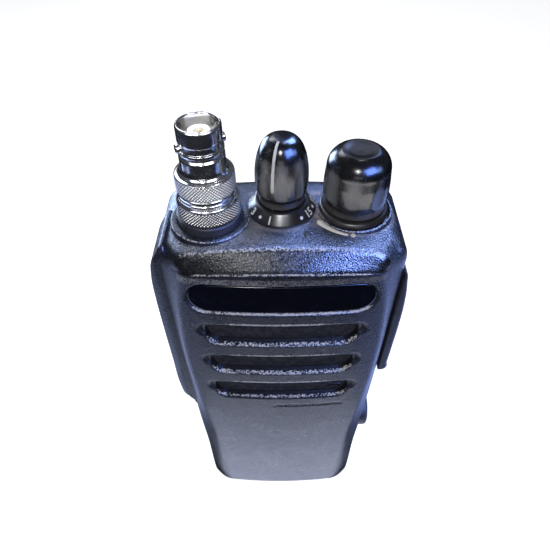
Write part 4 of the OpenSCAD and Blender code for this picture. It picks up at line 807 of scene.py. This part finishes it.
def antenna_adapter():
    """Seal ring, knurled collar and bayonet adapter with its lugs, white insulator and gold contact."""
    def plated(name, points, node, grime=0.0, finish=NICKEL):
        """A nickel piece of the adapter."""
        piece(name, points, "radio", "nickel", finish, [node], grime=grime)

    ring = rounded([(6.2, 127.2), (7.7, 127.2), (7.7, 130.0), (7.1, 130.25), (6.2, 130.25), (6.2, 127.2)],
                   [0, 0.2, 0.35, 0.3, 0, 0])
    piece("seal_ring", turned(CONNECTOR, ring, 96), "radio", "rubber_black", RUBBER, ["antenna_seal_ring"])
    collar = rounded([(5.2, 130.35), (6.7, 130.35), (6.9, 130.9), (6.9, 133.7), (7.1, 134.05),
                      (6.95, 134.45), (6.6, 134.7), (5.2, 134.7), (5.2, 130.35)],
                     [0, 0.3, 0.1, 0.1, 0.15, 0.2, 0.2, 0, 0])
    plated("collar_core", turned(CONNECTOR, spaced(collar, 0.5), 128), "adapter_collar")
    points, grime = knurled(CONNECTOR, 7.3, 130.36, 133.95, 58, 0.76, 0.34, 0.25)
    plated("collar_knurl", points, "adapter_collar", grime, KNURLED)
    body = rounded([(0, 134.8), (6.45, 134.8), (6.6, 135.0), (6.6, 135.5), (6.42, 135.62), (6.42, 135.8),
                    (6.62, 135.92), (6.62, 136.5), (6.4, 136.8), (6.4, 140.5), (6.62, 140.62),
                    (6.6, 140.85), (6.35, 140.95), (5.75, 141.0), (5.12, 141.6), (5.0, 142.6),
                    (5.0, 145.1), (4.6, 145.5), (4.6, 146.05), (4.98, 146.25), (4.98, 146.9),
                    (4.62, 147.1), (4.6, 148.4), (4.8, 148.65), (4.8, 150.2), (4.8, 151.8),
                    (4.55, 152.18), (4.25, 152.18), (4.05, 151.95), (4.05, 142.0), (0, 142.0)],
                   [0] + [0.12] * 12 + [0.25, 0.5, 0.3, 0.1] + [0.1] * 9 + [0.15, 0.15, 0.1, 0, 0], 4)
    points = turned(CONNECTOR, spaced(body, 0.6), 160)
    r = np.hypot(points[..., 0] - CONNECTOR[0], points[..., 1] - CONNECTOR[1])
    z = points[..., 2]
    neck = (r < 4.75) & (r > 4.2) & (z < 149) & (z > 145)
    plated("adapter_shell", points, "adapter_body", 0.5 * bell(z - 135.7, 0.1) + 0.55 * neck)
    points, grime = knurled(CONNECTOR, 6.75, 136.75, 140.65, 56, 0.78, 0.26, 0.3)
    plated("adapter_knurl", points, "adapter_body", 0.7 * grime, KNURLED)
    foot = np.array((*CONNECTOR, LUG_Z))
    for i, sign in enumerate((1, -1)):
        way = sign * np.array((math.cos(LUG_TURN), math.sin(LUG_TURN), 0))
        lug = pegged(foot + 4.3 * way, foot + 5.5 * way, 1.0, 0.25)
        plated(f"bayonet_lug_{i + 1}", lug, "adapter_body")
    core = rounded([(1.1, 141.95), (4.0, 141.95), (4.0, 143.4), (2.4, 143.4), (2.4, 150.5), (1.1, 150.5),
                    (1.1, 141.95)], [0, 0, 0.2, 0, 0.25, 0.2, 0])
    piece("adapter_core", turned(CONNECTOR, core, 64), "radio", "white_insulator", INSULATOR,
          ["adapter_insulator"])
    pin = rounded([(0, 143.9), (0.65, 143.9), (0.65, 149.7), (1.05, 149.7), (1.05, 142.0), (0, 142.0)],
                  [0, 0, 0.12, 0.2, 0, 0])
    piece("contact_tube", turned(CONNECTOR, pin, 40), "radio", "gold_plate", GOLD, ["adapter_contact"])


def on_cone(turn, a, b, h):
    """Points on the dial's cone: a along its round from a turn, b up its slope and h out of it, in mm."""
    rise = np.array(CONE_HIGH) - np.array(CONE_LOW)
    slope = np.linalg.norm(rise)
    out = np.array((rise[1], -rise[0])) / slope
    r = CONE_LOW[0] + rise[0] * b / slope + h * out[0]
    z = CONE_LOW[1] + rise[1] * b / slope + h * out[1]
    return turned_at(CHANNEL, turn + a / r, r, z)


def dial_number(place, turn):
    """A number of the dial: flat letters made a mesh, brought to size and wrapped on the cone."""
    thick = 0.02
    words = bpy.data.curves.new(f"dial_number_{place}", "FONT")
    words.body = str(place)
    words.align_x = "CENTER"
    words.extrude = thick
    words.offset = 0.022
    words.resolution_u = 6
    text = bpy.data.objects.new(f"dial_number_{place}", words)
    flat = bpy.data.meshes.new_from_object(text)
    letters = np.empty(len(flat.vertices) * 3)
    flat.vertices.foreach_get("co", letters)
    x, y, z = letters.reshape(-1, 3).T
    faces = np.array([list(polygon.vertices) for polygon in flat.polygons], object)
    bpy.data.objects.remove(text)
    tall = np.ptp(y)
    points = on_cone(turn, x / tall * 1.75, 0.3 + (y - y.min()) / tall * 1.95, z / thick * 0.06)
    return solid(f"dial_mark_{place:02d}", points, faces, "radio", "white_insulator", WHITE_PAINT)


def dial_dot(place, turn):
    """A dot of the dial: a low dome of rings, wrapped on the cone."""
    r, h = np.array([(0, -0.06), (0.42, -0.06), (0.42, 0.03), (0.36, 0.06), (0, 0.065)]).T[:, :, None]
    angle = np.linspace(0, 2 * np.pi, 20, endpoint=False)
    points = on_cone(turn, r * np.cos(angle), 1.2 + r * np.sin(angle), h)
    return piece(f"dial_mark_{place:02d}", points, "radio", "white_insulator", WHITE_PAINT)


def channel_dial():
    """The selector's cone ring with an eased foot and lip, sixteen places round it, 20 degrees apart and
    clockwise from above: numbers at the odd places and dots at the even ones, with flat faces."""
    line = rounded([(4.9, 127.5), (8.3, 127.5), CONE_LOW, CONE_HIGH, (6.3, 130.4), (4.9, 130.4),
                    (4.9, 127.5)], [0, 0.1, 0.3, 0.25, 0.2, 0, 0])
    piece("dial_cone", turned(CHANNEL, line, 128), "radio", "control_grey", DIAL_GLOSS,
          ["channel_dial_ring"])
    for place in range(1, 17):
        turn = math.radians(DIAL_START - DIAL_STEP * (place - 1))
        made = dial_number(place, turn) if place % 2 else dial_dot(place, turn)
        made.data.polygons.foreach_set("use_smooth", np.zeros(len(made.data.polygons), bool))


def knob_line(base, collar_r, collar_top, dome, top):
    """Profile of a knob from the middle of its foot, up its collar and body, to the middle of its top."""
    foot = [(0, base), (collar_r, base), (collar_r, base + collar_top)]
    return rounded(foot + dome + [(0, top)], [0, 0.25, 0.3] + [0.0] * len(dome) + [0], 5)


def scalloped(axis_turn, count, r_cut, floor_r, soften, body):
    """A swell for turned(): upright round grooves of radius r_cut whose floor lies at floor_r, evenly
    round the knob in the rows of its body, each joined softly to it, so that they end in arches where
    the dome draws in."""
    def swell(angle, r):
        apart = 2 * np.pi / count
        phi = (angle - axis_turn + apart / 2) % apart - apart / 2
        far = floor_r + r_cut
        under = np.maximum(r_cut ** 2 - (far * np.sin(phi)) ** 2, 0)
        groove = np.where(under > 0, far * np.cos(phi) - np.sqrt(under), 99.0)
        return np.where(body, -join(-r, -np.minimum(groove, r + 5), soften), r)
    return swell


def channel_knob():
    """The bullet-shaped selector: a narrow collar, a full belly drawn in to a dome, nine scallops, and a
    white pointer up the ridge between two of them."""
    base, belly, high, full, wide, count = 130.7, 5.0, 11.1, 0.58, 6.3, 9
    a = np.pi / 2 * (1 - (1 - np.linspace(0, 1, 64)) ** 1.6)[:-1]
    dome = [(wide * math.cos(v) ** full, base + belly + high * math.sin(v)) for v in a]
    line = knob_line(base, 5.5, 2.0, [(6.12, base + 2.9), (6.28, base + 4.0)] + dome, base + belly + high)
    line = spaced(line, 0.5)
    body = line[:, 1:] > base + 2.0
    groove_turn = POINTER_TURN + math.pi / count
    points = turned(CHANNEL, line, 252, scalloped(groove_turn, count, 3.4, 5.86, 0.16, body))
    groove = 0.5 - 0.5 * np.cos(count * turn_about(CHANNEL, points, POINTER_TURN))
    height = points[..., 2] - base
    # Worn haze with painted sheen: paler on the faces of the scallops, darker on the ridges between them.
    haze = (0.5 + 0.4 * groove) * ease(height, 1.8, 3.4) * (1 - ease(height, 11.0, 14.4))
    piece("channel_grip", points, "channel_control", "knob_gloss", KNOB_GLOSS, ["channel_knob"],
          edge=haze, grime=1 - ease(height, 0.4, 3.2))
    steps = 44
    v = np.linspace(0.02, 1.40, steps)
    path = turned_at(CHANNEL, POINTER_TURN, wide * np.cos(v) ** full, base + belly + high * np.sin(v))
    along = np.gradient(path, axis=0)
    along = along / np.linalg.norm(along, axis=1)[:, None]
    across = np.broadcast_to((math.cos(POINTER_TURN), math.sin(POINTER_TURN), 0), path.shape)
    half = np.linspace(0.42, 0.3, steps) * np.minimum(1, np.linspace(0.6, 9, steps))
    points = ribbon(path, across, np.cross(across, along), half, 0.06, 0.3)
    piece("channel_pointer", points, "channel_control", "white_insulator", WHITE_PAINT, ["channel_knob"])


def volume_knob():
    """The drum-shaped volume knob: collar, slightly swelling wall with eight shallow scallops, a broad
    round shoulder and a dished top; and the ring that it stands on."""
    base, high, edge, wide, count = 129.0, 14.6, 4.6, 7.8, 8
    groove_turn = math.radians(-12)
    top = base + high
    a = np.linspace(0, math.radians(71), 24)
    shoulder = [(wide - 0.45 - edge + edge * math.cos(v), top - edge + edge * math.sin(v)) for v in a]
    dish = [(4.0, top - 0.2), (3.5, top - 0.26), (2.4, top - 0.42)]
    wall = [(wide - 0.05, base + 3.3), (wide, base + 5.4), (wide - 0.1, base + 7.6)]
    line = spaced(knob_line(base, 7.4, 1.8, wall + shoulder + dish, top - 0.5), 0.5)
    body = (line[:, 1:] > base + 2.4) & (line[:, :1] > 4.5)
    points = turned(VOLUME, line, 256, scalloped(groove_turn, count, 9.0, 7.48, 0.2, body))
    turn = turn_about(VOLUME, points, groove_turn)
    height = points[..., 2] - base
    # Worn haze with painted sheen: paler on each scallop and on the knob's left side.
    haze = (0.725 + 0.225 * np.cos(count * turn)) * (0.85 - 0.4 * np.sin(turn))
    haze = haze * ease(height, 2.0, 4.0) * (1 - ease(height, 9.6, 13.0))
    piece("volume_grip", points, "volume_control", "knob_gloss", KNOB_GLOSS, ["volume_knob"],
          edge=haze, grime=1 - ease(height, 0.4, 3.4))
    ring = rounded([(4.9, 127.3), (8.4, 127.3), (8.4, 127.9), (8.0, 128.5), (4.9, 128.5), (4.9, 127.3)],
                   [0, 0.1, 0.3, 0.25, 0, 0])
    piece("volume_dial", turned(VOLUME, ring, 112), "radio", "control_grey", DIAL_GLOSS, ["volume_ring"],
          grime=0.55)


def volume_marks():
    """The cream wedge on the top, an arc round the volume knob that tapers as it runs, and its end dot."""
    steps = 40
    turn = np.radians(np.linspace(301, 347, steps))
    half = np.linspace(0.86, 0.26, steps) * np.minimum(1, np.linspace(0.55, 8, steps))
    path = turned_at(VOLUME, turn, 10.25, 0)
    path[:, 2] = top_line(path[:, 0]) + 0.02
    across = turned_at((0, 0), turn, 1.0, 0)
    up = np.broadcast_to((0.0, 0.0, 1.0), path.shape)
    piece("volume_wedge", ribbon(path, across, up, half, 0.2, 0.5), "radio", "white_insulator", CREAM_PAINT)
    spot = turned_at(VOLUME, math.radians(353.7), 10.1, 0)
    z = top_line(spot[0])
    dot = rounded([(0, z - 0.5), (0.62, z - 0.5), (0.62, z + 0.22), (0.3, z + 0.42), (0, z + 0.46)],
                  [0, 0, 0.2, 0.2, 0])
    piece("volume_dot", turned(spot, dot, 32), "radio", "white_insulator", CREAM_PAINT)


def indicator():
    """The small indicator window: a rounded block with a pillowed face, sunk in a moulded rim."""
    x, y = LENS
    low, high = (x - 1.15, y - 1.5, 123.8), (x + 1.15, y + 1.5, 127.75)
    core = (x - 0.3, x + 0.3, y - 0.5, y + 0.5, 125.0, 126.6)
    across = graded((core[0], core[1], 0.3))
    columns = around(core, across, graded((core[2], core[3], 0.3)), across, 8)
    points = skin(lambda x, y, z: box_form(x, y, z, low, high, 0.9), core, columns,
                  graded((core[4], core[5], 0.8)), 4, 10)[0]
    piece("indicator_window", points, "radio", "lens_red", WINDOW, ["indicator_lens"])


def side_skin(form, core, step_y, levels, corner, cap, turn):
    """The skin of a block on the radio's side, its columns fine on the faces that look outwards."""
    across = graded((core[0], core[1], 0.4))
    columns = around(core, across, graded((core[2], core[3], step_y)), across, corner)
    return skin(form, core, columns, levels, cap, turn)


def key_side():
    """The bulge on the left: a frame with a deep window round each key, and three crowned keys in it."""
    y0, y1 = KEY_MID_Y - KEY_HALF_D, KEY_MID_Y + KEY_HALF_D

    def key_outline(y, z, z0, z1, gap):
        """Distance outside a key's rounded outline, widened by a gap."""
        return rounded_window(y, z, y0 - gap, y1 + gap, z0 - gap, z1 + gap, KEY_CORNER_R)

    def bulge(x, y, z):
        """Distance past the bulge's outward line, its edges, its ends or its inner face."""
        edges = np.abs(y - KEY_MID_Y) - KEY_HALF_D - KEY_FRAME_LIP
        ends = np.maximum(KEY_FRAME_Z0 - z, z - KEY_FRAME_Z1)
        outer = join(x - curve(z, KEY_OUT) + 0.3, edges, 0.9)
        return np.maximum(join(outer, ends, 0.9), KEY_FRAME_X0 - x)
    core = (27.4, 28.0, -13.6, -1.4, 60.0, 119.0)
    points, _, heading = side_skin(bulge, core, 0.24, graded((60, 119, 0.3)), 6, 3, 16)
    y, z = points[..., 1], points[..., 2]
    windows = np.minimum.reduce([key_outline(y, z, *ends, KEY_GAP) for ends in KEYS.values()])
    sunk = ease(-windows, -0.14, 0.14)
    outwards = straight(heading, TO_RIGHT)
    points[..., 0] -= np.where(outwards, KEY_WINDOW_D * sunk, 0)
    piece("key_bezel", mirrored(points), "radio", "housing_black", HOUSING, ["key_frame"],
          edge=0.3 * bell(windows, 0.35) * outwards, grime=0.6 * sunk)
    for (name, (z0, z1)), body in zip(KEYS.items(), ("ptt", "upper_button", "lower_button")):
        mid, half = (z0 + z1) / 2, (z1 - z0) / 2

        def cap(x, y, z):
            """Distance past a key's dipped outward line, its outline or its inner face."""
            dip = 0.28 * bell(y - KEY_MID_Y, 3.4) * bell(z - mid, 0.62 * half)
            rim = key_outline(y, z, z0, z1, 0)
            return np.maximum(join(x - curve(z, KEY_OUT) + dip, rim, 0.9), KEY_INNER_X - x)
        core = (KEY_INNER_X + 0.1, KEY_INNER_X + 0.2, -11.0, -4.0, z0 + 2.4, z1 - 2.4)
        points = side_skin(cap, core, 0.5, graded((core[4], core[5], 0.5)), 12, 2, 12)[0]
        piece(name + "_cap", mirrored(points), body, "key_rubber", KEY_RUBBER, [name])


def cover_side():
    """The rubber accessory cover on the right, with grip grooves near its top, its strap and the round
    button that anchors the strap."""
    def lid(x, y, z):
        """Distance past the cover's grooved outward line, edges, ends or the housing's side."""
        groove = 0.3 * np.maximum.reduce([bell(z - g, 0.42) for g in COVER_GROOVES_Z])
        groove = groove * ease(5.0 - np.abs(y - STRAP_Y), 0, 0.6)
        outer = join(x - curve(z, COVER_OUT) + groove, np.abs(y - STRAP_Y) - COVER_HALF_D, 0.9)
        return np.maximum(join(outer, np.maximum(COVER_Z0 - z, z - COVER_Z1), 1.0), side_w(z) + 0.16 - x)
    levels = graded((75.5, 102, 0.8), (102, 111, 0.18), (111, 113, 0.6))
    points = side_skin(lid, (30.05, 30.25, -13.0, -2.0, 75.5, 113.0), 0.4, levels, 8, 2, 14)[0]
    piece("accessory_cover", points, "cover", "rubber_black", RUBBER, ["dust_cover"])

    def band(x, y, z):
        """Distance outside a thin layer on the housing's side, between edges and ends."""
        edges = join(np.abs(y - STRAP_Y) - STRAP_HALF_D, np.maximum(STRAP_Z0 - z, z - STRAP_Z1), 0.5)
        return np.maximum(join(x - side_w(z) - 0.8, edges, 0.5), side_w(z) + 0.02 - x)
    core = (29.75, 29.79, -10.0, -5.0, 56.0, 71.3)
    points = side_skin(band, core, 0.8, graded((core[4], core[5], 1.2)), 6, 2, 20)[0]
    piece("strap_band", points, "radio", "rubber_black", RUBBER, ["cover_strap"])
    seat = float(side_w(ANCHOR_Z))
    line = rounded([(0, seat - 1.5), (ANCHOR_R, seat - 1.5), (ANCHOR_R, seat + 1.3),
                    (ANCHOR_R - 0.8, seat + 2.1), (4.2, seat + 2.1), (3.9, seat + 1.8), (0, seat + 1.8)],
                   [0, 0, 0.5, 0.5, 0.2, 0.2, 0], 6)
    flat = turned((0, 0), spaced(line, 0.5), 72)
    points = np.stack([flat[..., 2], STRAP_Y + flat[..., 0], ANCHOR_Z + flat[..., 1]], -1)
    piece("strap_button", points, "radio", "rubber_black", RUBBER, ["cover_strap"])


def battery_form(x, y, z):
    """Distance outside the battery: front with a shallow dish for its lid, back, sides, the bevels along
    the back and at both ends, foot and top, with rounded edges."""
    across = np.abs(x)
    wide = side_w(z) - 0.6
    dish = 0.5 * ease(wide - across, 0.9, 1.6) * ease(z, 4.6, 6.0) * (1 - ease(z, 103.0, 104.0))
    front = BATTERY_Y + dish - y
    lead = -((y - BATTERY_Y) * 4.0 + (z - 4.0) * 2.0) / math.hypot(4, 2)
    foot_bevel = ((y - 17.5) * 7.0 - z * 3.5) / math.hypot(7, 3.5)
    top_bevel = ((y - BACK_Y) * 7.0 + (z - 98.5) * 4.3) / math.hypot(7, 4.3)
    edge_bevel = (across - 28.2 + y - 16.0) / math.sqrt(2)
    back = join(join(y - BACK_Y, foot_bevel, 3.0), top_bevel, 3.0)
    body = join(join(back, edge_bevel, 2.6), across - wide, 1.6)
    body = join(join(body, z - BATTERY_TOP_Z, 1.2), -z, 1.2)
    return np.maximum(np.maximum(body, front), lead)


def battery():
    """The clip-on battery: a bevelled case with a shallow panel and contact pockets in its back, a pocket
    for each ribbed latch in its sides, and two hinge noses at its foot."""
    core = (-19.0, 19.0, 8.6, 15.8, 10.0, 98.0)
    back = graded((-19, -11.5, 0.4), (-11.5, 11.5, 0.27), (11.5, 19, 0.4))
    columns = around(core, graded((-19, 19, 2)), graded((8.6, 15.8, 0.28)), back, 12)
    levels = graded((10, 11, 0.5), (11, 17.2, 0.3), (17.2, 28, 1.2), (28, 32.5, 0.35), (32.5, 79, 2.0),
                    (79, 98, 0.3))
    points, lean, heading = skin(battery_form, core, columns, levels, 7, 16)
    x, y, z = np.moveaxis(points, -1, 0)
    on_back = straight(heading, TO_BACK)
    on_side = straight(heading, TO_RIGHT) | straight(heading, TO_LEFT)
    low, high = CHARGE_PAD_Z - CHARGE_PAD_HALF_H, CHARGE_PAD_Z + CHARGE_PAD_HALF_H
    pads = [rounded_window(x, z, c - CHARGE_PAD_HALF_W, c + CHARGE_PAD_HALF_W, low, high, 0.3)
            for c in CHARGE_PADS_X]
    panel = rounded_window(x, z, *BACK_PANEL)
    sink = CHARGE_PAD_D * ease(-np.minimum.reduce(pads), -0.15, 0.15)
    sink = np.maximum(sink, BACK_PANEL_D * ease(-panel, -0.3, 0.3))
    points[..., 1] -= np.where(on_back & straight(lean, 0), sink, 0)
    pocket = rounded_window(y, z, LATCH_Y0 - LATCH_GAP, LATCH_Y1 + LATCH_GAP,
                            LATCH_Z0 - LATCH_TRAVEL - LATCH_GAP, LATCH_Z1 + LATCH_GAP, 0.6)
    points[..., 0] -= np.where(on_side, np.sign(x) * LATCH_POCKET_D * ease(-pocket, -0.15, 0.15), 0)
    piece("battery_shell", points, "battery", "battery_black", BATTERY, ["battery_case"],
          edge=0.45 * bell(panel, 0.4) * on_back + 0.5 * bell(pocket, 0.4) * on_side)
    for i, side in enumerate((1, -1)):
        nose = pegged((side * 14.0, HINGE_Y, HINGE_Z), (side * 20.0, HINGE_Y, HINGE_Z), 0.9, 0.2, 20)
        piece(f"hinge_nose_{i + 1}", nose, "battery", "battery_black", BATTERY, ["battery_case"])

    def grip(x, y, z):
        """Distance outside a rounded box whose outer face is drawn in by cosine ribs."""
        ribs = 0.21 * (1 - np.cos(2 * np.pi * (z - LATCH_Z0) / LATCH_RIB_PITCH))
        ribs = ribs * ease(np.minimum(z - LATCH_Z0, LATCH_Z1 - z), 0.6, 1.6)
        return box_form(x + ribs, y, z, (LATCH_X0, LATCH_Y0, LATCH_Z0), (LATCH_X1, LATCH_Y1, LATCH_Z1), 0.9)
    core = (26.3, 27.6, LATCH_Y0 + 1, LATCH_Y1 - 1, LATCH_Z0 + 1, LATCH_Z1 - 1)
    points = side_skin(grip, core, 0.5, graded((core[4], core[5], 0.16)), 6, 2, 8)[0]
    for side, grid in (("right", points), ("left", mirrored(points))):
        piece(f"latch_grip_{side}", grid, f"latch_{side}", "latch_black", KEY_RUBBER,
              [f"battery_latch_{side}"])


dress_nodes()
housing_shell()
top_seats()
name_plate()
grille_felt()
antenna_adapter()
channel_dial()
channel_knob()
volume_knob()
volume_marks()
indicator()
key_side()
cover_side()
battery()


# Light, floor and camera

ROOM_GREY = (0.82, 0.82, 0.82)


def soft_panel(name, way, wide, high, glow, on=None, lights=True, gleams=True, far=600, look=(0, -8, 118)):
    """A soft studio panel in a direction from the radio's top, at a distance, facing it. glow is its
    brightness in red, green and blue. It isn't seen itself. Where on names objects, it reaches those
    alone, and it lights what is matt and gleams in what is glossy as lights and gleams say."""
    way = Vector(way).normalized()
    lamp = bpy.data.lights.new(name, "AREA")
    lamp.shape = "RECTANGLE"
    lamp.size = wide * MM
    lamp.size_y = high * MM
    lamp.energy = max(glow) * math.pi * wide * high * MM * MM
    lamp.color = [g / max(glow) for g in glow]
    made = bpy.data.objects.new(name, lamp)
    at = Vector(look) + way * far
    made.matrix_world = Matrix.Translation(at * MM) @ way.to_track_quat("Z", "Y").to_matrix().to_4x4()
    made.visible_camera = False
    made.visible_diffuse = lights
    made.visible_glossy = gleams
    bpy.context.scene.collection.objects.link(made)
    if on:
        reached = bpy.data.collections.new(name + "_reach")
        for thing in on:
            reached.objects.link(thing)
        made.light_linking.receiver_collection = reached


def floor_card(name, x, y, wide, deep, glow, **reach):
    """A card that lies on the floor with its middle at x and y and glows upwards."""
    soft_panel(name, (0, 0, -1), wide, deep, glow, far=1, look=(x, y, 2), **reach)


def pale_floor():
    """A plain floor that the camera sees as near white with soft shadows, that runs into the room's own
    pale grey far off, and that is dark in what the radio's surfaces mirror of it."""
    half_w = 3000.0
    mesh = bpy.data.meshes.new("floor")
    corners = half_w * MM * np.array([(-1, -1, 0), (1, -1, 0), (1, 1, 0), (-1, 1, 0)])
    mesh.from_pydata(corners.tolist(), [], [(0, 1, 2, 3)])
    f = Finish("pale_floor", roughness=0.9, emission_strength=1.0, specular_ior_level=0.0)
    seen = f.node("ShaderNodeLightPath", {}, {}, "Is Camera Ray")
    reach = f.node("ShaderNodeVectorMath", {"operation": "LENGTH"}, {0: f.place()}, "Value")
    far = f.gate(reach, 560.0, 1700.0)
    near_white = f.mix(far, (0.9, 0.9, 0.9), (0, 0, 0))
    glow = f.mix(far, (0.8, 0.8, 0.8), ROOM_GREY)
    mesh.materials.append(f.wear(base_color=f.mix(seen, (0.035, 0.037, 0.045), near_white),
                                 emission_color=f.mix(seen, (0, 0, 0), glow)))
    floor = bpy.data.objects.new("floor", mesh)
    bpy.context.scene.collection.objects.link(floor)


def studio():
    """A dim room that the camera sees as pale, and soft panels: a white lamp by the camera, blue-violet
    windows on the right, overhead and behind, a paler sky on the left and behind, a low window in front,
    a small lamp overhead, and pale cards that lie before the foot and beside it. Tinted panels spare
    the plated pieces, and the grained housing, the polished pieces, the dial and the drum-shaped knob
    have panels of their own."""
    world = bpy.data.worlds.new("room")
    bpy.context.scene.world = world
    world.use_nodes = True
    tree = world.node_tree
    path = tree.nodes.new("ShaderNodeLightPath")
    room = tree.nodes.new("ShaderNodeMix")
    room.data_type = "RGBA"
    room.inputs[6].default_value = (0.06, 0.065, 0.08, 1.0)
    room.inputs[7].default_value = (*ROOM_GREY, 1.0)
    tree.links.new(path.outputs["Is Camera Ray"], room.inputs[0])
    tree.links.new(room.outputs[2], tree.nodes["Background"].inputs["Color"])
    things = [thing for thing in bpy.context.scene.objects if thing.type == "MESH"]

    def worn_by(*finishes):
        """The meshes with any of these finishes."""
        return [thing for thing in things if thing.active_material in finishes]

    def others(group, *left):
        """Those of a group that are in none of the parts left out."""
        return [thing for thing in group if not any(thing in part for part in left)]

    plated, grained, dial = worn_by(NICKEL, KNURLED, GOLD), worn_by(HOUSING), worn_by(DIAL_GLOSS)
    drum = [thing for thing in things if thing.name == "volume_grip"]
    unplated = others(things, plated)
    polished = others(unplated, grained, dial)
    soft_panel("lamp_front", (-0.12, -0.72, 0.68), 72, 130, (56, 55.5, 55), others(things, grained))
    soft_panel("lamp_grain", (-0.12, -0.72, 0.68), 72, 130, (58, 57.5, 57), grained, gleams=False)
    soft_panel("lamp_gleam", (-0.2, -0.71, 0.67), 76, 130, (24, 24, 24.5), grained, False)
    soft_panel("violet_front", (0.55, -0.6, 0.58), 380, 300, (5, 9, 32), polished, False)
    soft_panel("violet_bevel", (0.6, -0.56, 0.57), 420, 260, (19, 30, 84), grained, False)
    soft_panel("white_front", (0.5, -0.6, 0.62), 360, 300, (4.4, 4.6, 5.2), plated, False)
    soft_panel("white_left", (-0.55, -0.6, 0.58), 300, 300, (3.4, 3.5, 3.9), plated, False)
    floor_card("knob_card", 10, -215, 440, 200, (3.2, 3.2, 3.3), on=worn_by(KNOB_GLOSS), lights=False)
    soft_panel("mouth_lamp", (0.05, -0.2, 0.97), 60, 60, (110, 110, 111), worn_by(INSULATOR), far=300)
    soft_panel("dial_front", (0.08, -0.68, 0.73), 280, 160, (9, 9.4, 10.6), dial, False)
    soft_panel("dim_back", (0.17, 0.75, 0.64), 300, 220, (0.7, 0.75, 1.0), drum, False)
    soft_panel("violet_side", (0.84, -0.28, 0.4), 180, 180, (3, 5, 12), polished, False)
    soft_panel("violet_over", (0.4, 0.5, 0.77), 300, 280, (9, 15, 38), others(polished, drum), False)
    soft_panel("violet_top", (0.36, 0.34, 0.86), 280, 260, (26, 39, 92), grained, False)
    soft_panel("lamp_top", (0.14, 0.31, 0.94), 44, 44, (30, 30, 30))
    soft_panel("sky_left", (-0.66, 0.73, 0.12), 380, 300, (10, 13, 20), unplated, False)
    soft_panel("sky_back", (-0.3, 0.7, 0.66), 220, 180, (6, 6.2, 7))
    soft_panel("violet_back", (0.44, 0.7, 0.57), 200, 170, (1.3, 2.0, 4.6), unplated, False)
    soft_panel("window_low", (-0.1, -0.97, 0.14), 280, 90, (2.0, 2.0, 2.2))
    floor_card("foot_card", 0, -35, 90, 30, (1.95, 2.15, 2.85))
    floor_card("card_left", -140, 10, 170, 170, (1.15, 1.4, 2.3))
    floor_card("card_right", 140, 10, 170, 170, (0.9, 1.2, 2.6))


def photo_camera():
    """The camera of the photograph: its place, its tilt down, its slight turn and roll, and its lens from
    the focal length in pixels over the width of the picture."""
    tilt, turn, roll = np.radians((CAMERA_TILT, CAMERA_TURN, CAMERA_ROLL))
    lens = bpy.data.cameras.new("photo_view")
    lens.sensor_width = SENSOR_W
    lens.lens = SENSOR_W * FOCAL_PX / PHOTO_PX
    lens.clip_start = 0.01
    lens.clip_end = 50.0
    made = bpy.data.objects.new("photo_view", lens)
    stand = Matrix.Translation(Vector(CAMERA_AT) * MM)
    made.matrix_world = (stand @ Matrix.Rotation(turn, 4, "Z") @ Matrix.Rotation(math.pi / 2 - tilt, 4, "X")
                         @ Matrix.Rotation(-roll, 4, "Z"))
    bpy.context.scene.collection.objects.link(made)
    bpy.context.scene.camera = made


pale_floor()
studio()
photo_camera()
bpy.context.scene.view_settings.view_transform = "Standard"
